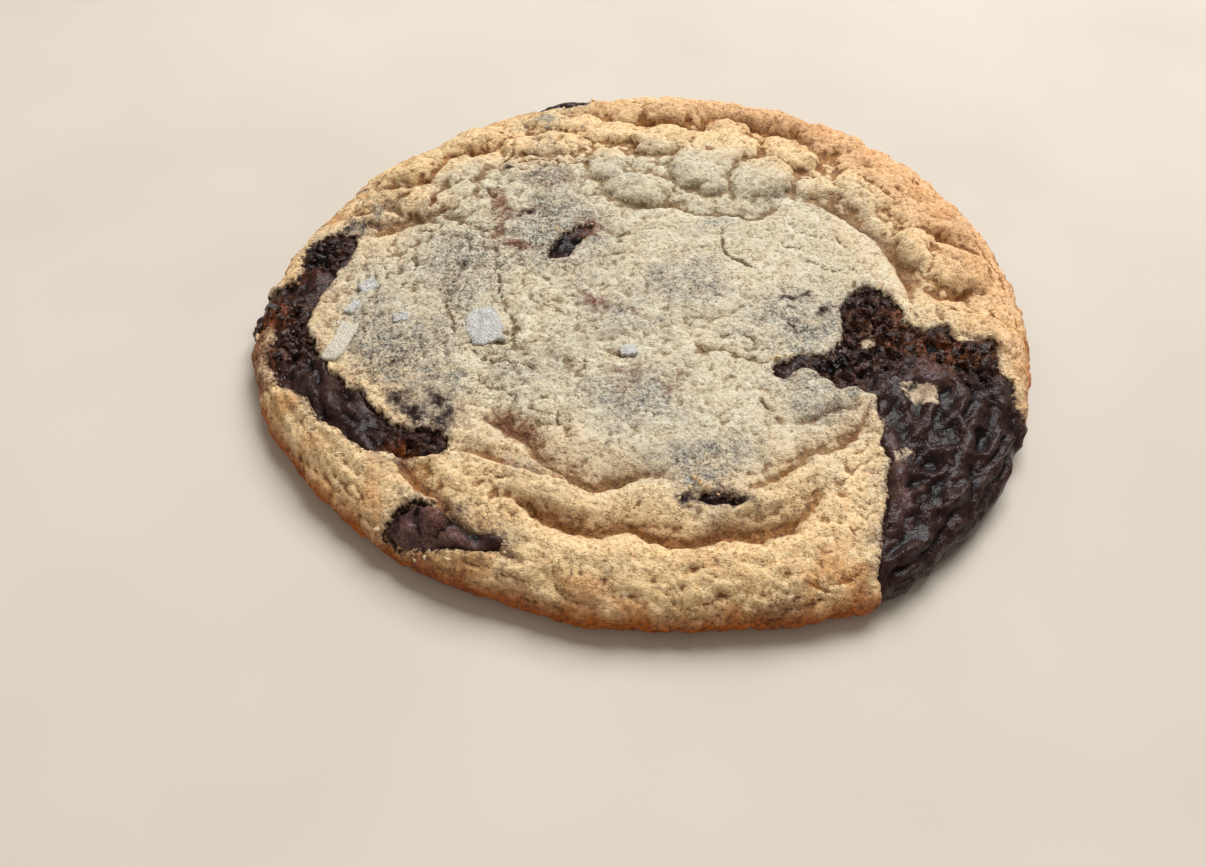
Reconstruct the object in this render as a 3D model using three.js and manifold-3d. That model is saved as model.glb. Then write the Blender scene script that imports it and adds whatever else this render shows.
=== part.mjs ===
// A large, flat chocolate chip cookie: golden dough with folded rings near the rim, a cracked and
// paler middle, flakes of salt, and pools of melted chocolate that were baked into it.
//
// Units are millimetres, +Z is up, and the cookie lies flat on Z = 0 with the origin under its middle.
// The sketch that the features are placed in has +X to the right and +Y to the back.
import * as THREE from "three";
import { mergeVertices } from "three/addons/utils/BufferGeometryUtils.js";
import Module from "manifold-3d";

// Driving dimensions of the whole cookie
const MEAN_RADIUS = 58.8;
const MIDDLE_THICKNESS = 9.0;
const RING_THICKNESS = 8.0;
const WIDEST_HEIGHT = 2.7; // the rim is widest this far above the table
const SHOULDER_WIDTH = 9.0; // the rounded upper edge of the rim
const FOOT_INSET = 2.6; // how far the flat underside stops inside the widest line
const MIDDLE_EDGE = 0.56; // shares of the radius between which the middle falls to the ring
const RING_EDGE = 0.8;

// The baker's outline is no circle: bulges and flats, each at an angle, by a height, over a spread
const OUTLINE_SWELLS = [
  { at: 194, by: 3.1, spread: 22 },
  { at: 298, by: 2.5, spread: 20 },
  { at: 118, by: -2.4, spread: 40 },
  { at: 272, by: -1.1, spread: 30 },
  { at: 28, by: 0.6, spread: 26 },
  { at: 136, by: -0.9, spread: 13 },
];
const RIM_RAGGEDNESS = 0.45;
const RIM_RAGGED_SPAN = 9;

// How finely the surface is divided: finely where the dough is folded, coarsely in the flat middle
const RIM_STEPS = 183;
const SIDE_STEPS = 3;
const SHOULDER_INSETS = [0.35, 1.3, 2.7, 4.2]; // the first rings inside the widest line
const FOLDED = { inwards: 1.4, around: 2.0 };
const FLAT = { inwards: 2.8, around: 2.9 };
const FLAT_WITHIN = 27; // the flat middle's radius
const UNDERSIDE_RING = { share: 0.5, steps: RIM_STEPS / 3 };

const UNEVENNESS = 0.35; // slow hills and hollows of the dough
const UNEVEN_SPAN = 8;
const CHOCOLATE_SINK = 0.7; // melted chocolate lies this much lower than the dough
const CHOCOLATE_WRINKLE = 0.45;
const CHOCOLATE_WRINKLE_SPAN = 4.2;
const FIT_GAP = 0.3; // between a pool of chocolate and the dough round it
const ABOVE_ALL = 15;
const BELOW_ALL = -1;

// Folds and cracks. A fold is a groove along a path. The side on the left of its direction falls
// gently into the groove over the width "gentle", and the other side is a steep lip.
const FOLDS = {
  outerFront: {
    path: [[-25, -40.6], [-18, -42.4], [-13, -45.4], [-8, -46.4], [-4, -45.8], [4.3, -48],
      [9, -46.9], [14, -46.8], [18.5, -44.3], [21.5, -40.5], [22, -37]],
    depth: 2.6, gentle: 3.6, steep: 1.3,
  },
  outerLeft: {
    path: [[-37, -34.8], [-33, -37.6], [-30, -41], [-27, -44.6], [-21, -48.3], [-16, -52]],
    depth: 2.4, gentle: 3.0, steep: 1.1,
  },
  innerFront: {
    path: [[-27, -27.2], [-21, -29.6], [-18, -32], [-15.5, -35.6], [-11.5, -38.3], [-8, -39.8],
      [-3, -37.4], [1, -37.6], [4, -38.8]],
    depth: 2.0, gentle: 3.4, steep: 1.3,
  },
  innerLeft: {
    path: [[-30, -32.4], [-25, -34.8], [-19, -36.6], [-14, -38.2], [-9, -40.2]],
    depth: 1.3, gentle: 2.6, steep: 0.8,
  },
  innerRight: {
    path: [[12, -41], [15.5, -37.8], [19, -35.6], [20.5, -33.6], [24.5, -32.2], [31, -27.5]],
    depth: 1.5, gentle: 2.6, steep: 1.3,
  },
  middleRight: {
    path: [[24, 21.2], [28.5, 21], [32, 18.4], [35.2, 14.8], [38, 10.4], [39.8, 5.6], [40.4, 1.2],
      [39, -4]],
    depth: 2.2, gentle: 3.6, steep: 1.3,
  },
  middleBack: {
    path: [[-9, 18.6], [0, 19.8], [5, 19.3], [8, 17.2], [13, 17.8], [17, 16.8], [20, 19.2], [24, 21.2]],
    depth: 1.6, gentle: 2.8, steep: 1.3,
  },
  middleLeft: {
    path: [[-46.5, 10], [-43, 13], [-39.5, 15], [-35, 17.5], [-30, 17]],
    depth: 1.5, gentle: 2.2, steep: 1.3,
  },
  outerBackLeft: {
    path: [[-50, 24.4], [-46, 25.2], [-39, 25.6], [-36.5, 29], [-33, 33.5], [-28, 35.6], [-26, 39]],
    depth: 2.1, gentle: 2.6, steep: 1.3,
  },
  sideBackLeft: {
    path: [[-51, 16.4], [-47, 17.2], [-44, 19.4], [-40, 22.6]],
    depth: 1.6, gentle: 2.2, steep: 1.3,
  },
  outerBack: {
    path: [[-26, 46.2], [-19, 47.4], [-12, 47], [-5, 45], [1, 45], [5, 44.6], [8.6, 41.4], [11, 46.8],
      [17, 45], [20.5, 41.8], [27, 41.6], [29, 36], [33, 31.8]],
    depth: 2.0, gentle: 2.8, steep: 1.3,
  },
  sideRight: {
    path: [[44, 15.5], [48, 13], [52, 11.4], [54, 9]],
    depth: 1.6, gentle: 2.2, steep: 1.0,
  },
  lowRight: {
    path: [[41.5, 2.6], [45.5, -0.6], [49, 0], [52, 1.5]],
    depth: 1.4, gentle: 1.6, steep: 1.0,
  },
  tongue: {
    path: [[4.5, -15.6], [9, -14.2], [13, -15.8], [18, -16.2]],
    depth: 0.9, gentle: 1.1, steep: 1.1,
  },
  underTongue: {
    path: [[19, -29.4], [23, -27.4], [26, -25.6], [30, -24]],
    depth: 1.1, gentle: 1.2, steep: 1.3,
  },
  crackLeft: {
    path: [[-30, 14], [-29.4, 8], [-29.5, 2], [-32, -3], [-30.2, -10], [-33.5, -16]],
    depth: 0.8, gentle: 1.1, steep: 1.1,
  },
  crackMiddle: {
    path: [[-25, 5], [-23, -3], [-22, -8], [-20.5, -12], [-21, -17]],
    depth: 0.8, gentle: 1.1, steep: 1.1,
  },
};

// Rolls of dough that stand up between the folds
const ROLLS = {
  frontLeft: {
    path: [[-30, -31], [-25, -33.4], [-20, -37], [-14, -41], [-9, -43.2], [-4, -42.2]],
    rise: 0.9, width: 3.0,
  },
  frontRight: {
    path: [[4, -45], [10, -44.2], [15, -42], [19, -38.6], [22, -35.4], [27, -33]],
    rise: 1.1, width: 2.9,
  },
  front: {
    path: [[-22, -50.5], [-12, -51], [-2, -50.2], [5, -51.6], [14, -50.8], [22, -47.5]],
    rise: 0.7, width: 3.4,
  },
  backLeft: {
    path: [[-49, 21], [-46, 28.4], [-40, 34], [-33, 39.6], [-26, 43.4]],
    rise: 0.6, width: 3.0,
  },
  back: {
    path: [[-8, 50.2], [2, 51], [12, 50.2], [22, 47.6], [31, 43], [38, 36.4], [44, 28]],
    rise: 0.6, width: 3.2,
  },
};

// Lumps of dough pushed up beside each other: x, y, half length, half width, turn in degrees, rise
const LUMPS = [
  [-42, 30.6, 6.6, 3.4, 44, 1.1],
  [-33.5, 38, 5.6, 3.2, 42, 1.0],
  [-18.5, 43.4, 3.9, 3.4, 8, 1.3],
  [-9, 41.6, 6.4, 4.2, -8, 1.2],
  [4, 47.8, 4.6, 2.5, -2, 1.2],
  [14.2, 42.6, 3.2, 2.6, -15, 1.2],
  [21.5, 47.2, 7.2, 3.5, -12, 1.2],
  [33.5, 39.6, 6.4, 4.0, -38, 1.3],
  [40, 31, 6.2, 4.8, -40, 1.2],
  [46.5, 20.5, 7.4, 5.6, -58, 1.2],
  [49.5, 5.6, 4.6, 4.4, 0, 1.4],
  [51, -8.4, 5.4, 3.2, -25, 0.9],
  [3, 38.6, 5.5, 4.8, -6, 1.6],
  [12.8, 36.2, 4.8, 4.6, -20, 1.6],
  [24, 35, 5.2, 4.1, -28, 1.6],
  [8.4, 28.8, 4.9, 4.8, 0, 1.5],
  [19.3, 27.2, 5.2, 4.8, -5, 1.5],
  [28, 25, 3.4, 3.0, 0, 1.0],
  [35.5, 24.4, 4.8, 3.6, -48, 1.1],
  [42.3, 10.4, 2.7, 4.8, -12, 1.4],
  [-8, 29.6, 3.6, 3.6, 0, 1.1],
  [-18.5, 36.4, 6.0, 3.4, 5, 1.1],
  [-34, 28.2, 4.2, 3.6, 0, 1.3],
  [-38.4, 20.6, 4.4, 3.0, 40, 1.2],
  [-32.6, 20, 4.4, 3.8, 0, 0.9],
  [-46.6, 16.4, 3.6, 2.8, 0, 1.0],
  [-2.5, 23.6, 4.8, 3.0, -5, 0.9],
  [-24, -51.4, 4.6, 3.0, -22, 0.7],
  [9.4, -52.4, 4.4, 2.8, 8, 0.7],
  [-46.6, -31.4, 5.0, 3.4, -48, 0.8],
  [-52, -24, 4.4, 3.0, -66, 0.7],
];

// Pools of melted chocolate, as outlines seen from above. "from" is the height that a pool reaches
// down to: one that starts below the table runs through the whole cookie.
const POOLS = {
  chocolate_right_rim: {
    outline: [[33.6, 0.6], [29.6, -2], [28.8, -6], [28, -11], [26.2, -14.6], [22, -15.6],
      [17.2, -17.8], [19.4, -19.4], [23, -18], [26, -21.2], [29.4, -22], [31.6, -25.2],
      [31.6, -33], [30.8, -42], [28.2, -49.6], [28.6, -54], [27.4, -60], [46, -63], [66, -44],
      [63, -27], [53.6, -24], [51.8, -17.4], [50.6, -11.8], [45.6, -10.6], [43.6, -7.8],
      [38.8, -8.6], [37.2, -4.6]],
    from: BELOW_ALL,
  },
  chocolate_left_rim: {
    outline: [[-48, 10.8], [-52.4, 10.4], [-56, 8.2], [-55.4, 3.6], [-56.4, 0], [-64, -2.4],
      [-64, -8.4], [-57.4, -9.8], [-57.4, -15], [-55, -20.4], [-50, -25], [-44.6, -30.6],
      [-39.6, -33.8], [-33.4, -35], [-29, -33.2], [-29.6, -31], [-34.6, -30], [-38.4, -27.4],
      [-42.4, -23.6], [-46.6, -20.2], [-48.6, -16], [-51.6, -12], [-52.4, -6], [-50.2, 0],
      [-48.6, 5]],
    from: 2.2,
  },
  chocolate_front_left: {
    outline: [[-35, -44.2], [-31.6, -42.4], [-28.2, -43.4], [-25.4, -45.8], [-20.2, -48],
      [-23, -49.8], [-28.6, -49.4], [-33.6, -48.4], [-36, -46.2]],
    from: 3.2,
  },
  chocolate_front: {
    outline: [[3.8, -41], [6, -39.2], [10.4, -39.8], [13, -41.8], [11.4, -43.6], [7, -43.2], [4, -42.6]],
    from: 3.6,
  },
  chocolate_middle: {
    outline: [[-16.4, 5], [-13.6, 6.4], [-11.8, 9.6], [-9.6, 13.4], [-12.8, 13.2], [-15.6, 9.6]],
    from: 4.2,
  },
  chocolate_back_rim: {
    outline: [[-20.6, 51], [-16.4, 52.2], [-12.4, 52.6], [-12, 62], [-23.4, 61]],
    from: 3.4,
  },
};

// Flakes of salt: x, y, length, width, turn in degrees, tilt in degrees
const SALT_FLAKES = [
  [-26.2, -8.2, 5.8, 5.2, 24, 5],
  [-46.2, -11.8, 7.4, 2.7, 78, -7],
  [-44, 0, 3.0, 2.4, 35, 9],
  [-45.6, -4.7, 3.2, 1.6, 62, -8],
  [-38, -7.2, 2.2, 1.6, 15, 8],
  [-3.8, -13.4, 2.5, 2.1, 10, -8],
];
const FLAKE_THICKNESS = 0.9;
const FLAKE_PROUD = 0.15; // how far a flake's middle stands above the dough

const PAINT = {
  dough: { color: 0xd8b47c, roughness: 0.85, metalness: 0 },
  chocolate: { color: 0x2e1c15, roughness: 0.45, metalness: 0 },
};

// Repeatable smooth noise, between -1 and 1: scrambled values on a unit grid, eased between. Large odd
// factors scramble the grid's two counts and the layer, so that each layer is a noise of its own.
const SCRAMBLE = { across: 374761393, up: 668265263, layer: 974634777, mix: 1274126177 };
const HALF_RANGE = 2 ** 31;
const LAYERS = { hills: 1, wrinkles: 2, rim: 3 };
function gridValue(i, j, layer) {
  const { across, up, mix } = SCRAMBLE;
  let h = Math.imul(i, across) ^ Math.imul(j, up) ^ Math.imul(layer, SCRAMBLE.layer);
  h = Math.imul(h ^ (h >>> 13), mix);
  return ((h ^ (h >>> 16)) >>> 0) / HALF_RANGE - 1;
}
function noise(x, y, layer) {
  const i = Math.floor(x);
  const j = Math.floor(y);
  const ease = (t) => t * t * (3 - 2 * t);
  const u = ease(x - i);
  const v = ease(y - j);
  const low = THREE.MathUtils.lerp(gridValue(i, j, layer), gridValue(i + 1, j, layer), u);
  const high = THREE.MathUtils.lerp(gridValue(i, j + 1, layer), gridValue(i + 1, j + 1, layer), u);
  return THREE.MathUtils.lerp(low, high, v);
}

// The outline: the distance from the sketch's origin to the widest line of the rim
function rimRadius(angle) {
  let radius = MEAN_RADIUS;
  for (const { at, by, spread } of OUTLINE_SWELLS) {
    const away = THREE.MathUtils.euclideanModulo(THREE.MathUtils.radToDeg(angle) - at + 180, 360) - 180;
    radius += by * Math.exp(-((away / spread) ** 2));
  }
  const across = MEAN_RADIUS / RIM_RAGGED_SPAN;
  return radius + RIM_RAGGEDNESS * noise(across * Math.cos(angle), across * Math.sin(angle), LAYERS.rim);
}

// A smooth line through a few points, with the length run along it at each point
const LINE_DETAIL = 4;
function smoothLine(path) {
  const curve = new THREE.SplineCurve(path.map(([x, y]) => new THREE.Vector2(x, y)));
  const points = curve.getPoints(LINE_DETAIL * (path.length - 1));
  const run = [0];
  for (let i = 1; i < points.length; i++) run.push(run[i - 1] + points[i].distanceTo(points[i - 1]));
  return { points, run };
}

// Where a place lies beside a line: how far off, on which side, and at what share of its length
function beside({ points, run }, x, y) {
  let best = Infinity;
  let side = 0;
  let along = 0;
  for (let i = 1; i < points.length; i++) {
    const a = points[i - 1];
    const step = new THREE.Vector2().subVectors(points[i], a);
    const t = THREE.MathUtils.clamp(((x - a.x) * step.x + (y - a.y) * step.y) / step.lengthSq(), 0, 1);
    const dx = x - a.x - t * step.x;
    const dy = y - a.y - t * step.y;
    if (Math.hypot(dx, dy) < best) {
      best = Math.hypot(dx, dy);
      side = step.x * dy - step.y * dx;
      along = run[i - 1] + t * step.length();
    }
  }
  return { off: best, onLeft: side > 0, share: along / run.at(-1) };
}

// Folds and rolls are full along their middle, and run out at their two ends
const RUN_OUT = 0.22;
const FOLD_SHARPNESS = 1.5;
function fullness(share) {
  return THREE.MathUtils.smoothstep(Math.min(share, 1 - share), 0, RUN_OUT);
}
function foldDepth(fold, x, y) {
  const { off, onLeft, share } = beside(fold.line, x, y);
  const width = onLeft ? fold.gentle : fold.steep;
  return fold.depth * fullness(share) * Math.exp(-((off / width) ** FOLD_SHARPNESS));
}
function rollRise(roll, x, y) {
  const { off, share } = beside(roll.line, x, y);
  return roll.rise * fullness(share) * Math.exp(-((off / roll.width) ** 2));
}
const withLine = (feature) => ({ ...feature, line: smoothLine(feature.path) });
const folds = Object.values(FOLDS).map(withLine);
const rolls = Object.values(ROLLS).map(withLine);

// How high a lump of dough stands at a place
function lumpRise([cx, cy, length, width, turn, rise], x, y) {
  const c = Math.cos(THREE.MathUtils.degToRad(turn));
  const s = Math.sin(THREE.MathUtils.degToRad(turn));
  const u = ((x - cx) * c + (y - cy) * s) / length;
  const v = (-(x - cx) * s + (y - cy) * c) / width;
  const q = u * u + v * v;
  return q < 1 ? rise * Math.sqrt(1 - q) : 0;
}

// The height of the top before its rim is rounded: thick in the middle, thinner towards the rim
function slab(x, y) {
  const share = Math.hypot(x, y) / rimRadius(Math.atan2(y, x));
  const fall = THREE.MathUtils.smoothstep(share, MIDDLE_EDGE, RING_EDGE);
  return THREE.MathUtils.lerp(MIDDLE_THICKNESS, RING_THICKNESS, fall);
}
function doughTop(x, y) {
  const lumps = Math.max(...LUMPS.map((lump) => lumpRise(lump, x, y)));
  const raised = Math.max(...rolls.map((roll) => rollRise(roll, x, y)));
  const cut = Math.max(...folds.map((fold) => foldDepth(fold, x, y)));
  const hills = UNEVENNESS * noise(x / UNEVEN_SPAN, y / UNEVEN_SPAN, LAYERS.hills);
  return slab(x, y) + Math.max(lumps, raised) - cut + hills;
}
function chocolateTop(x, y) {
  const span = CHOCOLATE_WRINKLE_SPAN;
  const wrinkle = 1 - 2 * Math.abs(noise(x / span, y / span, LAYERS.wrinkles));
  return slab(x, y) - CHOCOLATE_SINK + CHOCOLATE_WRINKLE * wrinkle;
}

// The surface's height at a place with the rim's shoulder rounded off
function rounded(top, x, y) {
  const inset = rimRadius(Math.atan2(y, x)) - Math.hypot(x, y);
  const t = THREE.MathUtils.clamp(inset / SHOULDER_WIDTH, 0, 1);
  return WIDEST_HEIGHT + (top(x, y) - WIDEST_HEIGHT) * Math.sqrt(1 - (1 - t) ** 2);
}

// One ring of points round the cookie, at an inset from the rim and a height given by a function
function ring(count, inset, height) {
  return Array.from({ length: count }, (_, i) => {
    const angle = (2 * Math.PI * i) / count;
    const radius = inset(rimRadius(angle));
    const x = radius * Math.cos(angle);
    const y = radius * Math.sin(angle);
    return [x, y, height(x, y)];
  });
}

// All rings of the cookie, from the middle of its underside, out, up the rim and in over the top
function cookieRings(top) {
  const flat = () => 0;
  const { share, steps } = UNDERSIDE_RING;
  const rings = [ring(1, () => 0, flat), ring(steps, (r) => share * r, flat)];
  for (let k = 0; k <= SIDE_STEPS; k++) {
    const turn = (Math.PI / 2) * (k / SIDE_STEPS);
    const inset = FOOT_INSET * (1 - Math.sin(turn));
    rings.push(ring(RIM_STEPS, (r) => r - inset, () => WIDEST_HEIGHT * (1 - Math.cos(turn))));
  }
  const height = (x, y) => rounded(top, x, y);
  for (const inset of SHOULDER_INSETS) rings.push(ring(RIM_STEPS, (r) => r - inset, height));
  const shoulder = SHOULDER_INSETS.at(-1);
  const reach = MEAN_RADIUS - shoulder;
  let step = FOLDED;
  for (let radius = reach - step.inwards; radius > step.inwards; radius -= step.inwards) {
    step = radius > FLAT_WITHIN ? FOLDED : FLAT;
    const count = Math.round((2 * Math.PI * radius) / step.around);
    rings.push(ring(count, (r) => ((r - shoulder) * radius) / reach, height));
  }
  rings.push(ring(1, () => 0, height));
  return rings;
}

// Two neighbouring rings are closed by triangles, walking round both and always taking the ring
// whose next point comes first
function solidFromRings(rings) {
  const positions = rings.flat(2);
  const index = [];
  let start = 0;
  for (let k = 1; k < rings.length; k++) {
    const a = rings[k - 1].length;
    const b = rings[k].length;
    const next = start + a;
    let i = 0;
    let j = 0;
    while (i < a || j < b) {
      const here = [start + (i % a), next + (j % b)];
      const takeFirst = j >= b || (i < a && (i + 1) / a < (j + 1) / b);
      const turned = takeFirst ? start + (++i % a) : next + (++j % b);
      if (turned !== here[0] && turned !== here[1]) index.push(here[0], turned, here[1]);
    }
    start = next;
  }
  return { positions: new Float32Array(positions), index: new Uint32Array(index) };
}

const wasm = await Module();
wasm.setup();

function manifoldFromArrays({ positions, index }) {
  return new wasm.Manifold(new wasm.Mesh({ numProp: 3, vertProperties: positions, triVerts: index }));
}
function manifoldFromGeometry(geometry) {
  const bare = geometry.clone();
  bare.deleteAttribute("normal");
  bare.deleteAttribute("uv");
  const merged = mergeVertices(bare, 1e-4);
  return manifoldFromArrays({
    positions: merged.attributes.position.array,
    index: new Uint32Array(merged.index.array),
  });
}
function geometryFromManifold(solid) {
  const { vertProperties, triVerts } = solid.getMesh();
  const geometry = new THREE.BufferGeometry();
  geometry.setAttribute("position", new THREE.BufferAttribute(vertProperties, 3));
  geometry.setIndex(new THREE.BufferAttribute(triVerts, 1));
  return geometry.toNonIndexed();
}

// A straight-walled column over a pool's outline, grown outwards by an allowance
const OUTLINE_DETAIL = 3;
function poolColumn({ outline, from }, grow) {
  const corners = outline.map(([x, y]) => new THREE.Vector3(x, y, 0));
  const curve = new THREE.CatmullRomCurve3(corners, true, "centripetal");
  const points = curve.getPoints(OUTLINE_DETAIL * outline.length).slice(0, -1);
  const clockwise = THREE.ShapeUtils.isClockWise(points);
  const edge = points.map((p, i) => {
    const before = points.at(i - 1);
    const after = points[(i + 1) % points.length];
    const out = new THREE.Vector2(after.y - before.y, before.x - after.x).setLength(clockwise ? -grow : grow);
    return new THREE.Vector2(p.x + out.x, p.y + out.y);
  });
  const bottom = from - grow;
  const column = new THREE.ExtrudeGeometry(new THREE.Shape(edge), {
    depth: ABOVE_ALL - bottom,
    bevelEnabled: false,
  });
  return manifoldFromGeometry(column.translate(0, 0, bottom));
}

// One flake of salt, lying a little tilted and half sunk in the dough
function saltFlake([x, y, length, width, turn, tilt]) {
  const flake = new THREE.BoxGeometry(length, width, FLAKE_THICKNESS);
  flake.rotateX(THREE.MathUtils.degToRad(tilt));
  flake.rotateZ(THREE.MathUtils.degToRad(turn));
  flake.translate(x, y, doughTop(x, y) + FLAKE_PROUD);
  return manifoldFromGeometry(flake);
}

// Booleans can leave slivers that belong to no body worth having, so only the largest is kept
function largestBody(solid) {
  return solid.decompose().reduce((most, body) => (body.volume() > most.volume() ? body : most));
}

function makeDough() {
  let dough = manifoldFromArrays(solidFromRings(cookieRings(doughTop)));
  for (const pool of Object.values(POOLS)) dough = dough.subtract(poolColumn(pool, FIT_GAP));
  for (const flake of SALT_FLAKES) dough = dough.add(saltFlake(flake));
  return largestBody(dough);
}
const chocolateCookie = manifoldFromArrays(solidFromRings(cookieRings(chocolateTop)));
function makePool(pool) {
  return largestBody(chocolateCookie.intersect(poolColumn(pool, 0)));
}

function namedMesh(name, solid, paint) {
  const mesh = new THREE.Mesh(geometryFromManifold(solid), new THREE.MeshStandardMaterial(paint));
  mesh.name = name;
  return mesh;
}

const cookie = new THREE.Group();
cookie.add(namedMesh("dough", makeDough(), PAINT.dough));
for (const [name, pool] of Object.entries(POOLS)) {
  cookie.add(namedMesh(name, makePool(pool), PAINT.chocolate));
}

// The whole is moved so that the middle of its box stands over the origin
const box = new THREE.Box3().setFromObject(cookie);
cookie.position.set(-(box.min.x + box.max.x) / 2, -(box.min.y + box.max.y) / 2, 0);

export default cookie;
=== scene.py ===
# %% [markdown]
# # A large chocolate chip cookie
#
# The real thing is a spoonful of dough that spread on a hot tray. Its rim set first and turned
# golden. The soft middle rose and sank again, and that pushed the dough into rings of folds.
# Chunks of chocolate melted into dark pools, and flakes of salt lie on top.
#
# We make it in this order: helpers for noise and for drawn lines, the outline, the camera, the dough
# as one fine mesh with fields for its colours, the pools, the finishes, the salt, the crumbs, and
# last the light. Lengths are in millimetres until a mesh is made, which takes metres.

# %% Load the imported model, which gives the size and the names of the pieces
import math

import bpy
import numpy as np
from mathutils import Matrix, Vector


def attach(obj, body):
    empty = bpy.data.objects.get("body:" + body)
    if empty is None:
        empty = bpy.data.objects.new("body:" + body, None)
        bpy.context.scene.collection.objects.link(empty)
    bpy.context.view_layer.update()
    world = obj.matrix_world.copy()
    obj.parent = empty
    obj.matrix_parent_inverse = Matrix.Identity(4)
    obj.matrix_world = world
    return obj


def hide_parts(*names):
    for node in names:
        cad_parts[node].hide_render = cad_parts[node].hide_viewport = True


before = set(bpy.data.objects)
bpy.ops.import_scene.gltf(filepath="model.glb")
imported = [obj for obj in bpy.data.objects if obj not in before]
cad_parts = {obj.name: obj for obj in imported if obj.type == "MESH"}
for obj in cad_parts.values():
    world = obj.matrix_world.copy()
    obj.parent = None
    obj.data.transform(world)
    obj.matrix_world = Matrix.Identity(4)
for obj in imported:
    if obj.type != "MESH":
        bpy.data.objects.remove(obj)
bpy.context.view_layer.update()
MM = 0.001

# %% [markdown]
# ## The sizes that drive everything
#
# A cookie has few true dimensions: how wide, how thick in the middle and near the rim, and how its
# edge is rounded. The outline isn't a circle. It could be drawn point by point, but a mean radius
# with a few broad swells says the same in six rows, and any ring inside the rim can follow it.

# %% Driving dimensions
MEAN_RADIUS = 58.8
MIDDLE_THICKNESS = 9.0
RING_THICKNESS = 8.0
WIDEST_HEIGHT = 2.7
SHOULDER_WIDTH = 9.0
FOOT_INSET = 2.6
MIDDLE_EDGE, RING_EDGE = 0.56, 0.8
OUTLINE_SWELLS = [  # angle in degrees, height, spread in degrees
    (194, 3.1, 22), (298, 2.5, 20), (118, -2.4, 40), (272, -1.1, 30), (28, 0.6, 26), (136, -0.9, 13),
]
RIM_RAGGEDNESS, RIM_RAGGED_SPAN = 0.45, 9
UNEVENNESS, UNEVEN_SPAN = 0.35, 8

# %% [markdown]
# ## Noise that gives the same crumb each time
#
# Baked dough is rough at every scale. Blender has noise textures, but a mesh that is shaped by
# arrays needs noise as a function. Value noise takes a scrambled number at each corner of a grid and
# eases between them. The scrambling is plain arithmetic on whole numbers, so it never changes.

# %% Smooth noise
SCRAMBLE = (374761393, 668265263, 974634777, 1274126177, 2246822519)
LAYERS = {"hills": 1, "wrinkles": 2, "rim": 3}


def scrambled(i, j, k, layer):
    """A repeatable value from -1 to 1 for each whole-numbered place."""
    across, up, per_layer, mix, deep = (np.array([factor], np.uint32) for factor in SCRAMBLE)
    i, j, k = (np.atleast_1d(v).astype(np.int64).astype(np.uint32) for v in (i, j, k))
    h = (i * across) ^ (j * up) ^ (np.array([layer], np.uint32) * per_layer) ^ (k * deep)
    h = (h ^ (h >> np.uint32(13))) * mix
    return (h ^ (h >> np.uint32(16))) / 2.0**31 - 1


def smooth_noise(x, y, layer, z=0.0):
    """Value noise from -1 to 1 on a grid of unit size."""
    p = np.stack(np.broadcast_arrays(x, y, z)).astype(float)
    low = np.floor(p)
    u, v, w = (p - low) * (p - low) * (3 - 2 * (p - low))
    i, j, k = low
    total = 0.0
    for di, fu in ((0, 1 - u), (1, u)):
        for dj, fv in ((0, 1 - v), (1, v)):
            for dk, fw in ((0, 1 - w), (1, w)):
                total = total + fu * fv * fw * scrambled(i + di, j + dj, k + dk, layer)
    return total


def flat_noise(xy, size, layer):
    """Noise seen from above, with grains of a size in millimetres."""
    return smooth_noise(*(xy / size).T, layer)


def space_noise(xyz, size, layer):
    """The same with depth, so that it doesn't smear down a steep side."""
    return smooth_noise(*(xyz[:, :2] / size).T, layer, z=xyz[:, 2] / size)


def pillowed(noise):
    """Noise folded into round swellings from 0 to 1 with sharp creases between them."""
    return np.abs(noise) ** 0.75


print("noise at (1.5, 2.5):", smooth_noise(np.array([1.5]), 2.5, LAYERS["hills"]).round(4))

# %% [markdown]
# ## Cells for cracks, crumbs and pores
#
# Cracked crust is a patchwork, and a crumb is a heap of small lumps. Both come from scattered
# points: the distance to the nearest one makes a lump or a pore, and where the nearest and the next
# are equally far there is a crack. A search over the 27 cells round each place finds both.

# %% Cells
def cells(p, size, layer):
    """Distance to the nearest and the next scattered point, the nearest one's value and the way from it."""
    q = p / size
    home = np.floor(q)
    nearest = np.full(len(p), 9.0)
    second = np.full(len(p), 9.0)
    own = np.zeros(len(p))
    way = np.zeros_like(q)
    for step in np.ndindex(3, 3, 3):
        cell = home + step - 1
        i, j, k = cell.T
        jitter = [0.5 + 0.5 * scrambled(i, j, k, layer + n) for n in range(3)]
        away = q - cell - np.stack(jitter, axis=1)
        far = np.linalg.norm(away, axis=1)
        closer = far < nearest
        second = np.where(closer, nearest, np.minimum(second, far))
        own = np.where(closer, scrambled(i, j, k, layer + 3), own)
        way[closer] = away[closer]
        nearest = np.where(closer, far, nearest)
    return nearest * size, second * size, own, way * size


def smoothstep(value, low, high):
    """Eases from 0 at the low value to 1 at the high one."""
    t = np.clip((value - low) / (high - low), 0, 1)
    return t * t * (3 - 2 * t)


# %% [markdown]
# ## Folds, rolls and lumps
#
# When the middle of a hot cookie sinks, the dough round it wrinkles into folds that run along the
# rim, with rolls between them, and towards the back it breaks into blocks. Each fold is drawn as a
# line seen from above. On the left of its direction the dough falls gently into it, and on the right
# it has a steep lip. A sculpted mesh could do this too, but lines with depths can be read and moved.

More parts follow.
